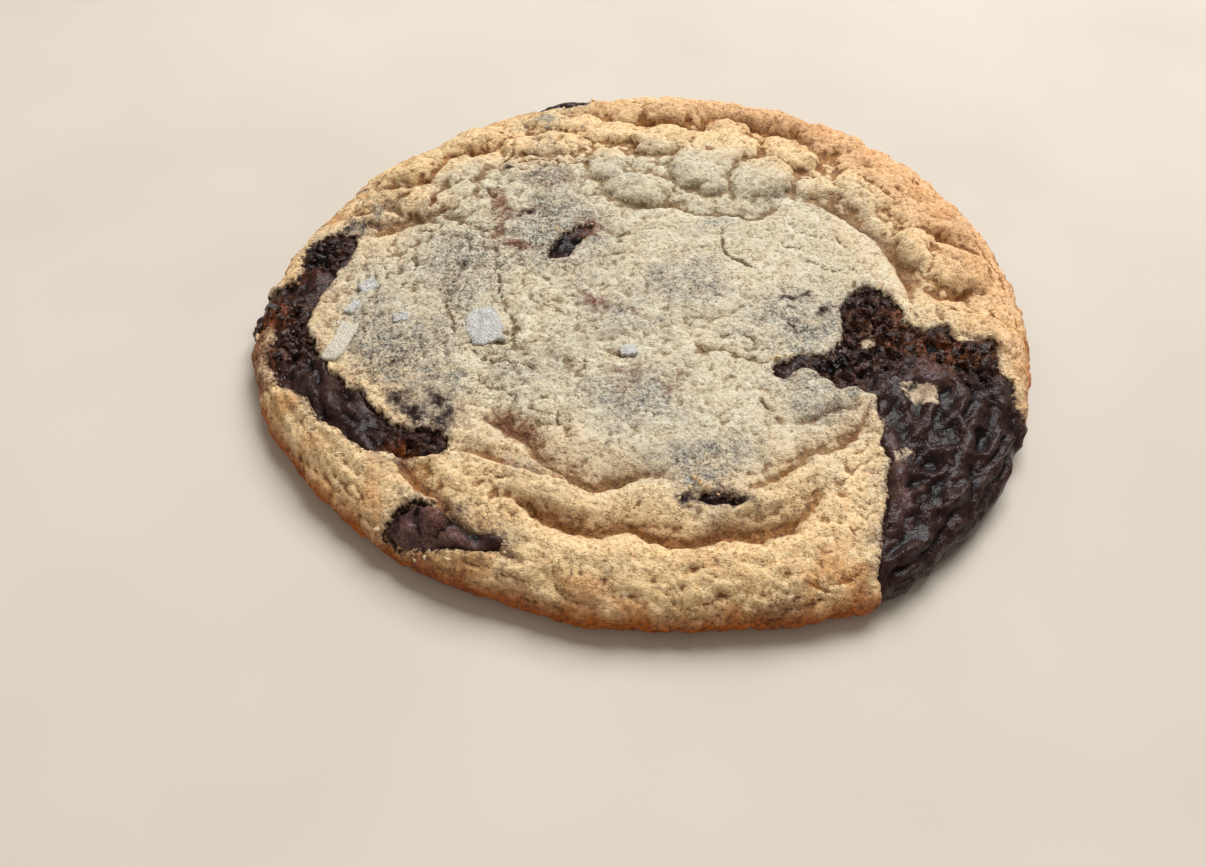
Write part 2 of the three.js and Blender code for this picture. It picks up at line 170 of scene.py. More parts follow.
# %% Where the folds run
FOLDS = {  # name: points, depth, gentle width, steep width
    "outer front": ([(-25, -40.6), (-18, -42.4), (-13, -45.4), (-8, -46.4), (-4, -45.8), (4.3, -48),
        (9, -46.9), (14, -46.8), (18.5, -44.3), (21.5, -40.5), (22, -37)], 2.6, 3.6, 1.3),
    "outer left": ([(-37, -34.8), (-33, -37.6), (-30, -41), (-27, -44.6), (-21, -48.3), (-16, -52)],
        2.4, 3.0, 1.1),
    "inner front": ([(-27, -27.2), (-21, -29.6), (-18, -32), (-15.5, -35.6), (-11.5, -38.3), (-8, -39.8),
        (-3, -37.4), (1, -37.6), (4, -38.8)], 2.0, 3.4, 1.3),
    "inner left": ([(-30, -32.4), (-25, -34.8), (-19, -36.6), (-14, -38.2), (-9, -40.2)], 1.3, 2.6, 0.8),
    "inner right": ([(12, -41), (15.5, -37.8), (19, -35.6), (20.5, -33.6), (24.5, -32.2), (31, -27.5)],
        1.5, 2.6, 1.3),
    "middle right": ([(24, 21.2), (28.5, 21), (32, 18.4), (35.2, 14.8), (38, 10.4), (39.8, 5.6),
        (40.4, 1.2), (39, -4)], 2.2, 3.6, 1.3),
    "middle back": ([(-9, 18.6), (0, 19.8), (5, 19.3), (8, 17.2), (13, 17.8), (17, 16.8), (20, 19.2),
        (24, 21.2)], 1.6, 2.8, 1.3),
    "middle left": ([(-46.5, 10), (-43, 13), (-39.5, 15), (-35, 17.5), (-30, 17)], 1.5, 2.2, 1.3),
    "outer back left": ([(-50, 24.4), (-46, 25.2), (-39, 25.6), (-36.5, 29), (-33, 33.5), (-28, 35.6),
        (-26, 39)], 2.1, 2.6, 1.3),
    "side back left": ([(-51, 16.4), (-47, 17.2), (-44, 19.4), (-40, 22.6)], 1.6, 2.2, 1.3),
    "outer back": ([(-26, 46.2), (-19, 47.4), (-12, 47), (-5, 45), (1, 45), (5, 44.6), (8.6, 41.4),
        (11, 46.8), (17, 45), (20.5, 41.8), (27, 41.6), (29, 36), (33, 31.8)], 2.0, 2.8, 1.3),
    "side right": ([(44, 15.5), (48, 13), (52, 11.4), (54, 9)], 1.6, 2.2, 1.0),
    "low right": ([(41.5, 2.6), (45.5, -0.6), (49, 0), (52, 1.5)], 1.4, 1.6, 1.0),
    "tongue": ([(4.5, -15.6), (9, -14.2), (13, -15.8), (18, -16.2)], 0.9, 0.7, 0.9),
    "under tongue": ([(19, -29.4), (23, -27.4), (26, -25.6), (30, -24)], 1.0, 0.8, 1.1),
}
HAIRLINES = {  # thin cracks that only show close by, in the same way
    "crack left": ([(-30, 14), (-29.4, 8), (-29.5, 2), (-32, -3), (-30.2, -10), (-33.5, -16)],
        0.7, 0.5, 0.45),
    "crack middle": ([(-25, 5), (-23, -3), (-22, -8), (-20.5, -12), (-21, -17)], 0.7, 0.5, 0.45),
    "plateau": ([(21, 15.4), (25, 12), (29.6, 11.6), (33, 8)], 0.4, 0.5, 0.4),
    "plateau low": ([(26.6, 13), (27.4, 9.4), (31, 6.6)], 0.35, 0.4, 0.4),
    "beside film": ([(8.6, -12.6), (13, -11.4), (15.6, -13.6), (18.4, -12.8)], 0.4, 0.5, 0.4),
    "low middle": ([(-6, -29), (-1, -27), (4, -28.6), (8, -26)], 0.4, 0.5, 0.4),
    "left edge": ([(-45, 6), (-41.6, 1.4), (-43, -5), (-40, -11)], 0.45, 0.5, 0.4),
    "behind flake": ([(-33, 8), (-27.4, 6.4), (-22, 8.6), (-18, 5)], 0.5, 0.5, 0.4),
    "middle": ([(12.4, 15.4), (11.2, 11), (11.8, 7.6), (14.6, 4.8), (18, 3.6)], 0.6, 0.9, 0.5),
    "back": ([(-6, 11), (-3.5, 12.4), (-1, 12), (2.4, 13)], 0.35, 0.5, 0.4),
    "right": ([(22.5, 7.6), (25.4, 5.4), (27.8, 3.2), (31, 3.4), (34.4, 2)], 0.4, 0.6, 0.4),
    "upper right": ([(19.6, 12.4), (20.4, 9.8), (22.6, 8.8), (24.8, 7.2)], 0.35, 0.5, 0.4),
    "front": ([(14.2, -22.6), (15.6, -26), (17.4, -28.4), (17.4, -31)], 0.6, 0.5, 0.4),
    "far left": ([(-39, 8), (-37.6, 3), (-38.8, -2), (-37, -6)], 0.35, 0.5, 0.4),
    "left": ([(-27, -14), (-24.4, -17), (-20, -17.6), (-15, -20.4)], 0.45, 0.6, 0.5),
    "low left": ([(-26, -22.4), (-21.4, -23.6), (-15.6, -27.4), (-12, -27)], 0.4, 0.6, 0.5),
    "pit": ([(-13.6, -27), (-13.3, -29.6)], 0.8, 0.4, 0.4),
    "slit": ([(-27, -42.4), (-26.2, -43.4)], 0.8, 0.4, 0.4),
    "notch": ([(-4.2, -42.4), (-2.6, -41.2)], 0.8, 0.45, 0.45),
    "rim back": ([(8, 55), (18, 52.6), (27, 48.6), (35, 43.4), (42, 36.6), (47.6, 29.4), (51.4, 21.6)],
        0.5, 1.1, 0.7),
    "rim right": ([(52.4, 19), (54.4, 13), (55.4, 6.4), (55.6, 0.4)], 0.4, 1.0, 0.7),
    "rim front": ([(18, -53.6), (23, -52.8), (28, -51)], 0.5, 0.7, 0.5),
    "left back": ([(-30.6, 24.4), (-27.4, 22.4), (-26.4, 19)], 0.6, 0.8, 0.6),
    "left block": ([(-37.6, 17.2), (-36, 21.6), (-33.4, 24.4)], 0.7, 0.8, 0.6),
    "purple": ([(-24, 30.6), (-18, 31.6), (-12, 30.8), (-7, 31.4)], 0.5, 0.7, 0.5),
    "back left block": ([(-26, 30), (-24.6, 33.4), (-25.2, 37)], 0.7, 0.9, 0.7),
}
print(len(FOLDS), "folds and", len(HAIRLINES), "hairline cracks")

# %% Where the rolls and lumps stand
ROLLS = {  # name: points, rise, width
    "front left": ([(-30, -31), (-25, -33.4), (-20, -37), (-14, -41), (-9, -43.2), (-4, -42.2)], 0.9, 3.0),
    "front right": ([(4, -45), (10, -44.2), (15, -42), (19, -38.6), (22, -35.4), (27, -33)], 1.1, 2.9),
    "front": ([(-22, -50.5), (-12, -51), (-2, -50.2), (5, -51.6), (14, -50.8), (22, -47.5)], 0.7, 3.4),
    "back left": ([(-49, 21), (-46, 28.4), (-40, 34), (-33, 39.6), (-26, 43.4)], 0.6, 3.0),
    "back": ([(-8, 50.2), (2, 51), (12, 50.2), (22, 47.6), (31, 43), (38, 36.4), (44, 28)], 0.6, 3.2),
}
LUMPS = [  # x, y, half length, half width, turn in degrees, rise
    (-42, 30.6, 6.6, 3.4, 44, 1.1), (-33.5, 38, 5.6, 3.2, 42, 1.0), (-18.5, 43.4, 3.9, 3.4, 8, 1.3),
    (-9, 41.6, 6.4, 4.2, -8, 1.2), (4, 47.8, 4.6, 2.5, -2, 1.2), (14.2, 42.6, 3.2, 2.6, -15, 1.2),
    (21.5, 47.2, 7.2, 3.5, -12, 1.2), (33.5, 39.6, 6.4, 4.0, -38, 1.3), (40, 31, 6.2, 4.8, -40, 1.2),
    (46.5, 20.5, 7.4, 5.6, -58, 1.2), (49.5, 5.6, 4.6, 4.4, 0, 1.4), (51, -8.4, 5.4, 3.2, -25, 0.9),
    (3, 38.6, 5.5, 4.8, -6, 1.6), (12.8, 36.2, 4.8, 4.6, -20, 1.6), (24, 35, 5.2, 4.1, -28, 1.6),
    (8.4, 28.8, 4.9, 4.8, 0, 1.5), (19.3, 27.2, 5.2, 4.8, -5, 1.5), (28, 25, 3.4, 3.0, 0, 1.0),
    (35.5, 24.4, 4.8, 3.6, -48, 1.1), (42.3, 10.4, 2.7, 4.8, -12, 1.4), (-8, 29.6, 3.6, 3.6, 0, 1.1),
    (-18.5, 36.4, 6.0, 3.4, 5, 1.1), (-34, 28.2, 4.2, 3.6, 0, 1.3), (-38.4, 20.6, 4.4, 3.0, 40, 1.2),
    (-32.6, 20, 4.4, 3.8, 0, 0.9), (-46.6, 16.4, 3.6, 2.8, 0, 1.0), (-2.5, 23.6, 4.8, 3.0, -5, 0.9),
    (-24, -51.4, 4.6, 3.0, -22, 0.7), (9.4, -52.4, 4.4, 2.8, 8, 0.7),
    (-46.6, -31.4, 5.0, 3.4, -48, 0.8), (-52, -24, 4.4, 3.0, -66, 0.7),
]
print(len(ROLLS), "rolls and", len(LUMPS), "lumps")

# %% [markdown]
# A line through a few points becomes smooth with a Catmull-Rom spline, which passes through each of
# them. Beside such a line every place of the cookie needs its distance, the side it is on and how
# far along it lies. Only places near the line are worked out, because the others can't be in the
# fold.

# %% Smooth lines, and where places lie beside them
LINE_DETAIL = 5


def smooth_line(points, closed=False, detail=LINE_DETAIL):
    """A Catmull-Rom spline through the points, as an array of places."""
    p = np.array(points, float)
    before = np.roll(p, 1, axis=0) if closed else np.vstack([2 * p[0] - p[1], p[:-1]])
    after = np.roll(p, -1, axis=0) if closed else np.vstack([p[1:], 2 * p[-1] - p[-2]])
    spans = len(p) if closed else len(p) - 1
    places = []
    for i in range(spans):
        a, b = p[i], p[(i + 1) % len(p)]
        ta, tb = (after[i] - before[i]) / 2, (after[(i + 1) % len(p)] - before[(i + 1) % len(p)]) / 2
        for t in np.arange(detail) / detail:
            places.append((2 * t**3 - 3 * t**2 + 1) * a + (t**3 - 2 * t**2 + t) * ta
                          + (3 * t**2 - 2 * t**3) * b + (t**3 - t**2) * tb)
    return np.array(places if closed else places + [p[-1]])


def beside(line, xy, reach):
    """Which places are within reach of the line, their distance, side and share of its length."""
    near = np.flatnonzero(np.all((xy > line.min(0) - reach) & (xy < line.max(0) + reach), axis=1))
    q = xy[near]
    run = np.concatenate([[0], np.cumsum(np.linalg.norm(np.diff(line, axis=0), axis=1))])
    best, side, along = np.full(len(q), 1e9), np.zeros(len(q)), np.zeros(len(q))
    for i in range(len(line) - 1):
        a, step = line[i], line[i + 1] - line[i]
        t = np.clip(((q - a) @ step) / (step @ step), 0, 1)
        off = q - a - t[:, None] * step
        far = np.linalg.norm(off, axis=1)
        closer = far < best
        best = np.where(closer, far, best)
        side = np.where(closer, step[0] * off[:, 1] - step[1] * off[:, 0], side)
        along = np.where(closer, run[i] + t * (run[i + 1] - run[i]), along)
    return near, best, side > 0, along / run[-1]


# %% How deep the folds cut
RUN_OUT = 0.22
ROLL_ROUND = 1.5  # a fold's side reaches this many of its widths from the crease
WANDER = [(4.0, 0.55), (1.3, 0.22)]  # grain and reach in mm of the wandering of drawn lines


def wandering(xy, layer, scales=WANDER):
    """The same places, moved a little, so that whatever is drawn there gets a natural line."""
    moved = xy.copy()
    for grain_size, reach in scales:
        for axis in range(2):
            moved[:, axis] += reach * flat_noise(xy, grain_size, layer + axis)
    return moved


def fullness(share):
    return smoothstep(np.minimum(share, 1 - share), 0, RUN_OUT)


def fold_depth(xy, folds):
    """Dough bulges over a fold on both sides, so the crease is sharp and its sides are round."""
    cut = np.zeros(len(xy))
    for points, depth, gentle, steep in folds.values():
        near, off, on_left, share = beside(smooth_line(points), xy, 1.6 * gentle + 1)
        width = ROLL_ROUND * np.where(on_left, gentle, steep)
        side = 1 - np.sqrt(1 - (1 - np.clip(off / width, 0, 1)) ** 2)
        soft = np.exp(-((1.6 * off / width) ** 1.5))
        cut[near] = np.maximum(cut[near], depth * fullness(share) * (0.6 * side + 0.4 * soft))
    return cut


def oval(xy, x, y, length, width, turn, power=2.0):
    """0 at the middle of an oval and 1 at its edge. A higher power makes it blockier."""
    c, s = math.cos(math.radians(turn)), math.sin(math.radians(turn))
    u = ((xy[:, 0] - x) * c + (xy[:, 1] - y) * s) / length
    v = ((xy[:, 1] - y) * c - (xy[:, 0] - x) * s) / width
    return (np.abs(u) ** power + np.abs(v) ** power) ** (1 / power)


def spots(xy, table):
    """The strongest of some soft oval spots at each place."""
    field = np.zeros(len(xy))
    for x, y, length, width, turn, strength in table:
        field = np.maximum(field, strength * np.exp(-(oval(xy, x, y, length, width, turn) ** 2.8)))
    return field


# %% Thin lines: the bottoms of the folds, and hairline cracks
CRACK_WANDER = [(3.0, 0.8), (0.9, 0.35)]
CRACK_THIN = 0.55


def fold_lines(xy, thin=0.42):
    """The very bottom of each fold, as a thin line, which the finish paints dark as shade."""
    line = np.zeros(len(xy))
    for points, _, _, _ in FOLDS.values():
        near, off, _, share = beside(smooth_line(points), xy, 4 * thin)
        line[near] = np.maximum(line[near], fullness(share) * np.exp(-((off / thin) ** 2)))
    return line


def crack_depth(xy):
    """Hairline cracks are thin, wander a lot, and close up here and there."""
    thin = {name: (points, depth, CRACK_THIN * left, CRACK_THIN * right)
            for name, (points, depth, left, right) in HAIRLINES.items()}
    open_here = smoothstep(flat_noise(xy, 1.7, 144), -0.8, -0.1)
    return fold_depth(wandering(xy, 140, CRACK_WANDER), thin) * open_here


# %% How high the rolls and lumps stand
LUMP_WANDER = [(7.0, 1.2), (2.4, 0.5)]
LUMP_FULLNESS, LUMP_BOLDNESS = 1.12, 1.2


def roll_rise(xy):
    rise = np.zeros(len(xy))
    for points, height, width in ROLLS.values():
        near, off, _, share = beside(smooth_line(points), xy, 3 * width)
        rise[near] = np.maximum(rise[near], height * fullness(share) * np.exp(-((off / width) ** 2)))
    return rise


def lump_rise(xy):
    """Lumps are blocky with full sides, no two alike, and have a narrow groove round them."""
    moved = wandering(xy, 130, LUMP_WANDER)
    dent = 0.16 * flat_noise(xy, 2.6, 134)
    rise, groove = np.zeros(len(xy)), np.zeros(len(xy))
    for x, y, length, width, turn, height in LUMPS:
        edge = oval(moved, x, y, LUMP_FULLNESS * length, LUMP_FULLNESS * width, turn, 2.7) + dent
        dome = np.clip(1 - np.clip(edge, 0, 1) ** 3, 0, 1) ** 0.6
        rise = np.maximum(rise, LUMP_BOLDNESS * height * dome)
        groove = np.maximum(groove, 0.5 * height * np.exp(-(((edge - 1.02) * width / 0.4) ** 2)))
    return rise - np.where(rise > 0.25, 0, groove)


# %% [markdown]
# ## The outline and the slab
#
# The widest line of the rim is the one measure that everything else hangs on. The whole cookie is
# then moved so that the middle of its box stands over the origin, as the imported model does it, and
# that shift is worked out from the outline in the same way.

# %% The rim, the slab and the shift to the origin
RIM_STEPS_OF_THE_SOLID = 183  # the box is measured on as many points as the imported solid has


def rim_radius(angle):
    radius = np.full(np.shape(angle), MEAN_RADIUS)
    for at, by, spread in OUTLINE_SWELLS:
        away = (np.degrees(angle) - at + 180) % 360 - 180
        radius = radius + by * np.exp(-((away / spread) ** 2))
    across = MEAN_RADIUS / RIM_RAGGED_SPAN
    ragged = smooth_noise(across * np.cos(angle), across * np.sin(angle), LAYERS["rim"])
    return radius + RIM_RAGGEDNESS * ragged


def share_of_radius(xy):
    return np.linalg.norm(xy, axis=1) / rim_radius(np.arctan2(xy[:, 1], xy[:, 0]))


def slab(xy):
    fall = smoothstep(share_of_radius(xy), MIDDLE_EDGE, RING_EDGE)
    return MIDDLE_THICKNESS + (RING_THICKNESS - MIDDLE_THICKNESS) * fall


around = np.arange(RIM_STEPS_OF_THE_SOLID) * 2 * math.pi / RIM_STEPS_OF_THE_SOLID
rim = rim_radius(around)[:, None] * np.stack([np.cos(around), np.sin(around)], axis=1)
SHIFT = -(rim.min(0) + rim.max(0)) / 2
print("shift to the origin in mm:", SHIFT.round(2), "and the rim's size:", np.ptp(rim, axis=0).round(2))


def in_metres(points):
    return (np.asarray(points, float) + [*SHIFT, 0][: np.shape(points)[-1]]) * MM


# %% [markdown]
# ## The camera
#
# The photograph looks down at about 49 degrees from close by, so the near side is drawn larger than
# the far side. The camera's place and turn were worked out from the cookie's outline. The roll is
# small, but without it the cookie would lean.

# %% Camera
CAMERA_PLACE = (-7.24, -129.78, 123.71)
CAMERA_ELEVATION, CAMERA_ROLL = 49.36, 1.24
LENS, SENSOR_WIDTH = 33.0, 36.0

camera = bpy.data.objects.new("camera", bpy.data.cameras.new("camera"))
bpy.context.scene.collection.objects.link(camera)
camera.data.lens, camera.data.sensor_width, camera.data.sensor_fit = LENS, SENSOR_WIDTH, "HORIZONTAL"
camera.data.clip_start = 10 * MM
camera.matrix_world = (
    Matrix.Translation(in_metres(CAMERA_PLACE))
    @ Matrix.Rotation(math.radians(90 - CAMERA_ELEVATION), 4, "X")
    @ Matrix.Rotation(math.radians(CAMERA_ROLL), 4, "Z")
)
bpy.context.scene.camera = camera
print("camera at", [round(v, 4) for v in camera.matrix_world.translation])

# %% [markdown]
# ## Pools of melted chocolate, seen from above
#
# Each pool is a closed smooth line. For every place we need how far inside the line it lies, because
# the dough dips there and the chocolate rises. A little noise on that distance frays the shore. It
# fades on the steep side of the rim, where it would be drawn out into spikes. Three small pools are
# partly roofed by dough, so their shores lie inside their outlines, and the sliver at the back is wider.

# %% Shores of the pools
POOLS = {
    "chocolate_right_rim": [
        (33.6, 0.6), (29.6, -2), (28.8, -6), (28, -11), (26.2, -14.6), (22, -15.6), (17.2, -17.8),
        (19.4, -19.4), (23, -18), (26, -21.2), (29.4, -22), (31.6, -25.2), (31.6, -33), (30.8, -42),
        (28.2, -49.6), (28.6, -54), (27.4, -60), (46, -63), (66, -44), (63, -27), (53.6, -24),
        (51.8, -17.4), (50.6, -11.8), (45.6, -10.6), (43.6, -7.8), (38.8, -8.6), (37.2, -4.6)],
    "chocolate_left_rim": [
        (-48, 10.8), (-52.4, 10.4), (-56, 8.2), (-55.4, 3.6), (-56.4, 0), (-64, -2.4), (-64, -8.4),
        (-57.4, -9.8), (-57.4, -15), (-55, -20.4), (-50, -25), (-44.6, -30.6), (-39.6, -33.8),
        (-33.4, -35), (-29, -33.2), (-29.6, -31), (-34.6, -30), (-38.4, -27.4), (-42.4, -23.6),
        (-46.6, -20.2), (-48.6, -16), (-51.6, -12), (-52.4, -6), (-50.2, 0), (-48.6, 5)],
    "chocolate_front_left": [
        (-35, -44.2), (-31.6, -42.4), (-28.2, -43.4), (-25.4, -45.8), (-20.2, -48), (-23, -49.8),
        (-28.6, -49.4), (-33.6, -48.4), (-36, -46.2)],
    "chocolate_front": [
        (3.8, -41), (6, -39.2), (10.4, -39.8), (13, -41.8), (11.4, -43.6), (7, -43.2), (4, -42.6)],
    "chocolate_middle": [
        (-16.4, 5), (-13.6, 6.4), (-11.8, 9.6), (-9.6, 13.4), (-12.8, 13.2), (-15.6, 9.6)],
    "chocolate_back_rim": [(-20.6, 51), (-16.4, 52.2), (-12.4, 52.6), (-12, 62), (-23.4, 61)],
}
SHORE_INSET = {"chocolate_back_rim": -0.7, "chocolate_front": 1.2, "chocolate_middle": 0.1,
               "chocolate_front_left": 0.4}
SHORE_REACH = 6.0
LARGE_POOLS = ("chocolate_right_rim", "chocolate_left_rim")
FRAYING, FRAYING_OF_SMALL_ONES = 0.52, 0.25
RIM_STEEPENS, RIM_IS_STEEP = 0.86, 0.95  # as shares of the cookie's radius


def depth_inside(name, xy):
    """How far inside a pool each place lies. It is negative outside, down to -SHORE_REACH."""
    shore = smooth_line(POOLS[name], closed=True)
    loop = np.vstack([shore, shore[:1]])
    inside = np.full(len(xy), -SHORE_REACH)
    near, off, _, _ = beside(loop, xy, SHORE_REACH)
    x, y = xy[near].T
    crossings = np.zeros(len(near), int)
    for a, b in zip(loop[:-1], loop[1:]):
        spans = (a[1] > y) != (b[1] > y)
        rise = b[1] - a[1] if b[1] != a[1] else 1e-9
        crossings += spans & (x < a[0] + (y - a[1]) / rise * (b[0] - a[0]))
    inside[near] = np.where(crossings % 2 == 1, off, -np.minimum(off, SHORE_REACH))
    return inside


def frayed_depth(name, xy):
    """The same depth with the shore drawn in or out and frayed by two grains of noise."""
    depth = depth_inside(name, xy) - SHORE_INSET.get(name, 0)
    fraying = FRAYING if name in LARGE_POOLS else FRAYING_OF_SMALL_ONES
    level = 1 - smoothstep(share_of_radius(xy), RIM_STEEPENS, RIM_IS_STEEP)
    return (depth + 1.6 * fraying * (0.6 + 0.4 * level) * flat_noise(xy, 2.6, 11)
            + 0.4 * fraying * level * flat_noise(xy, 1.0, 12))


print(len(POOLS), "pools, and their shores have", sum(len(shore) for shore in POOLS.values()), "points")

# %% [markdown]
# ## One closed skin from rings
#
# The cookie is round, so its mesh is a stack of rings: out along the underside, up round the foot,
# over the shoulder and in to the middle. Rings near the centre need fewer points, so two neighbours
# seldom have the same number. They are stitched by walking round both and always stepping to the
# point that comes first. A plain grid would be simpler, but it would leave stairs along the rim.

# %% Rings and stitches
STEP = 0.4
UNDERSIDE_STEP = 1.1
FOOT_RINGS = round(4.4 / STEP)
SHOULDER_RINGS = round(12.0 / STEP)


def ring_plan():
    """For each ring: the part of the skin it is on, its number of points, and between the two its
    place there: a share of the radius underneath and on top, a turn on the foot and the shoulder."""
    rim_points = round(2 * math.pi * MEAN_RADIUS / STEP)
    plan = [("under", 0.0, 1)]
    flat = MEAN_RADIUS - FOOT_INSET
    for radius in np.arange(UNDERSIDE_STEP, flat - UNDERSIDE_STEP / 2, UNDERSIDE_STEP):
        plan.append(("under", radius / flat, round(2 * math.pi * radius / UNDERSIDE_STEP)))
    for turn in np.linspace(0, math.pi / 2, FOOT_RINGS):
        plan.append(("foot", turn, rim_points))
    for turn in np.linspace(0, math.pi / 2, SHOULDER_RINGS + 1)[1:]:
        plan.append(("shoulder", turn, rim_points))
    inner = MEAN_RADIUS - SHOULDER_WIDTH
    for radius in np.arange(inner - STEP, STEP, -STEP):
        plan.append(("top", radius / inner, max(6, round(2 * math.pi * radius / STEP))))
    return plan + [("top", 0.0, 1)]


def stitched(counts):
    """Triangles between each ring and the next."""
    faces, start = [], 0
    for a, b in zip(counts[:-1], counts[1:]):
        order = np.argsort(np.concatenate([(np.arange(a) + 1) / a, (np.arange(b) + 1) / b]), kind="stable")
        first = order < a
        i = np.cumsum(first) - first
        j = np.cumsum(~first) - ~first
        here = start + i % a
        there = start + a + j % b
        turned = np.where(first, start + (i + 1) % a, start + a + (j + 1) % b)
        rows = np.stack([here, turned, there], axis=1)
        faces.append(rows[(turned != here) & (turned != there)])
        start += a
    return np.concatenate(faces)


def cookie_skin(top):
    """Points and triangles of a whole cookie whose top has the height that a function gives."""
    places, kinds = [], []
    for kind, value, count in PLAN:
        angle = np.arange(count) * 2 * math.pi / count
        rim_here = rim_radius(angle)
        inset_share, lift = 0.0, 0.0
        if kind == "under":
            radius = (rim_here - FOOT_INSET) * value
        elif kind == "foot":
            radius = rim_here - FOOT_INSET * (1 - math.sin(value))
            lift = WIDEST_HEIGHT * (1 - math.cos(value))
        elif kind == "shoulder":
            radius = rim_here - SHOULDER_WIDTH * (1 - math.cos(value))
            inset_share = math.sin(value)
        else:
            radius = (rim_here - SHOULDER_WIDTH) * value
            inset_share = 1.0
        places.append(np.stack([radius * np.cos(angle), radius * np.sin(angle),
                                np.full(count, lift), np.full(count, inset_share)], axis=1))
        kinds += [kind] * count
    table = np.concatenate(places)
    upper = np.isin(kinds, ("shoulder", "top"))
    xyz = table[:, :3].copy()
    height = top(xyz[upper, :2])
    xyz[upper, 2] = WIDEST_HEIGHT + (height - WIDEST_HEIGHT) * table[upper, 3]
    return xyz, stitched([count for _, _, count in PLAN])


PLAN = ring_plan()
print(len(PLAN), "rings with", sum(count for _, _, count in PLAN), "points")

# %% [markdown]
# ## Working on the skin
#
# Fine relief pushes each point along the surface's own direction, so that it also shapes the rim's
# side. For that we need the direction at each point. The average of a point's neighbours, taken a
# few times, gives a smoothed skin, and the distance to it tells hollows from bumps. The finishes
# paint the hollows darker, as shade.

# %% Directions, neighbours and hollows
def spread_to_corners(faces, count, values):
    """Adds up, at each point, a value of each face that touches it."""
    return sum(np.bincount(faces[:, k], weights=values, minlength=count) for k in range(3))


def directions(xyz, faces):
    a, b, c = (xyz[faces[:, k]] for k in range(3))
    across = np.cross(b - a, c - a)
    normal = np.stack([spread_to_corners(faces, len(xyz), across[:, k]) for k in range(3)], axis=1)
    return normal / np.maximum(np.linalg.norm(normal, axis=1, keepdims=True), 1e-12)


def averaged(values, faces, rounds):
    """Each point takes its neighbours' average, a number of times."""
    touching = 2 * spread_to_corners(faces, len(values), np.ones(len(faces)))
    for _ in range(rounds):
        whole = values[faces].sum(axis=1)
        total = np.zeros(len(values))
        for k in range(3):
            total += np.bincount(faces[:, k], weights=whole - values[faces[:, k]], minlength=len(values))
        values = total / touching
    return values


def hollowness(xyz, faces, normal, rounds):
    """How far each point lies below the smoothed skin, in millimetres."""
    smooth = np.stack([averaged(xyz[:, k], faces, rounds) for k in range(3)], axis=1)
    return ((smooth - xyz) * normal).sum(axis=1)


# %% [markdown]
# ## The dough's skin
#
# The large forms come first, then the pools press the dough down, and last the fine relief is put
# on: swells, crumb, creases, pores and grain. The ring has the strongest relief, and parts of the
# middle are nearly smooth. The front of the rim is pitted with pores.

# %% Large forms of the dough
POOL_SINK = 2.0
LIP_RISE = 0.25
POOL_FLOOR = {"chocolate_right_rim": -1.0, "chocolate_left_rim": 2.2, "chocolate_front_left": 3.2,
              "chocolate_front": 3.6, "chocolate_middle": 4.2, "chocolate_back_rim": 3.4}


def dough_top(xy):
    """The height of the dough at each place, with its folds, rolls, lumps and cracks."""
    hills = UNEVENNESS * flat_noise(xy, UNEVEN_SPAN, LAYERS["hills"])
    drawn = wandering(xy, 100)
    raised = np.maximum(lump_rise(drawn), roll_rise(drawn))
    return slab(xy) + raised - fold_depth(drawn, FOLDS) - crack_depth(xy) + hills


def pool_press(xyz):
    """How far the pools press the dough in at each point, less the lip that stands up round them, and
    how far inside a pool the point lies."""
    deepest = np.full(len(xyz), -SHORE_REACH)
    for name, floor in POOL_FLOOR.items():
        reached = smoothstep(xyz[:, 2], floor - 0.4, floor + 0.4) if floor > 0 else 1.0
        inside = (frayed_depth(name, xyz[:, :2]) + SHORE_REACH) * reached - SHORE_REACH
        deepest = np.maximum(deepest, inside)
    lip = LIP_RISE * np.exp(-(((deepest + 1.1) / 0.8) ** 2)) * (xyz[:, 2] > WIDEST_HEIGHT)
    return POOL_SINK * smoothstep(deepest, -0.35, 1.1) - lip, deepest


dough_xyz, dough_faces = cookie_skin(dough_top)
dough_normal = directions(dough_xyz, dough_faces)
press, shore_depth = pool_press(dough_xyz)
dough_xyz -= press[:, None] * dough_normal
print("dough skin:", len(dough_faces), "triangles, top at", dough_xyz[:, 2].max().round(2), "mm")

# %% [markdown]
# The relief adds up from coarse to fine. Swells and crumb push the skin out. Creases, nicks, pores
# and the gaps between clusters of crumb cut into it. Each has its own grain size and its own place.
# The numbers are a few tenths of a millimetre, but raking light picks all of them out. Towards the
# rim the grains lie along it, because the dough was stretched that way as it spread.

# %% Swells, breaks and gaps
QUIET = [(21, 8, 22, 12, -20, 1.0), (8, -25, 15, 8, 0, 0.5), (-2, -42, 9, 3, 0, 0.6)]  # smooth crust
CLUSTERED = [  # where the crumb has parted into clusters
    (-27, 4, 20, 26, 0, 1.0), (-22, 34, 14, 8, 10, 0.8), (-14, -20, 12, 8, 0, 0.6), (6, 30, 16, 8, 0, 0.5),
]
STRETCHED_BEYOND = 30


def rim_noise(xyz, bend, along, across, layer):
    """Noise with one grain size along the rim and another across it."""
    outwards = np.maximum(np.linalg.norm(xyz[:, :2], axis=1) - xyz[:, 2] - STRETCHED_BEYOND, 0)
    return smooth_noise(*((xyz[:, :2] + bend) / along).T, layer, z=outwards / across)


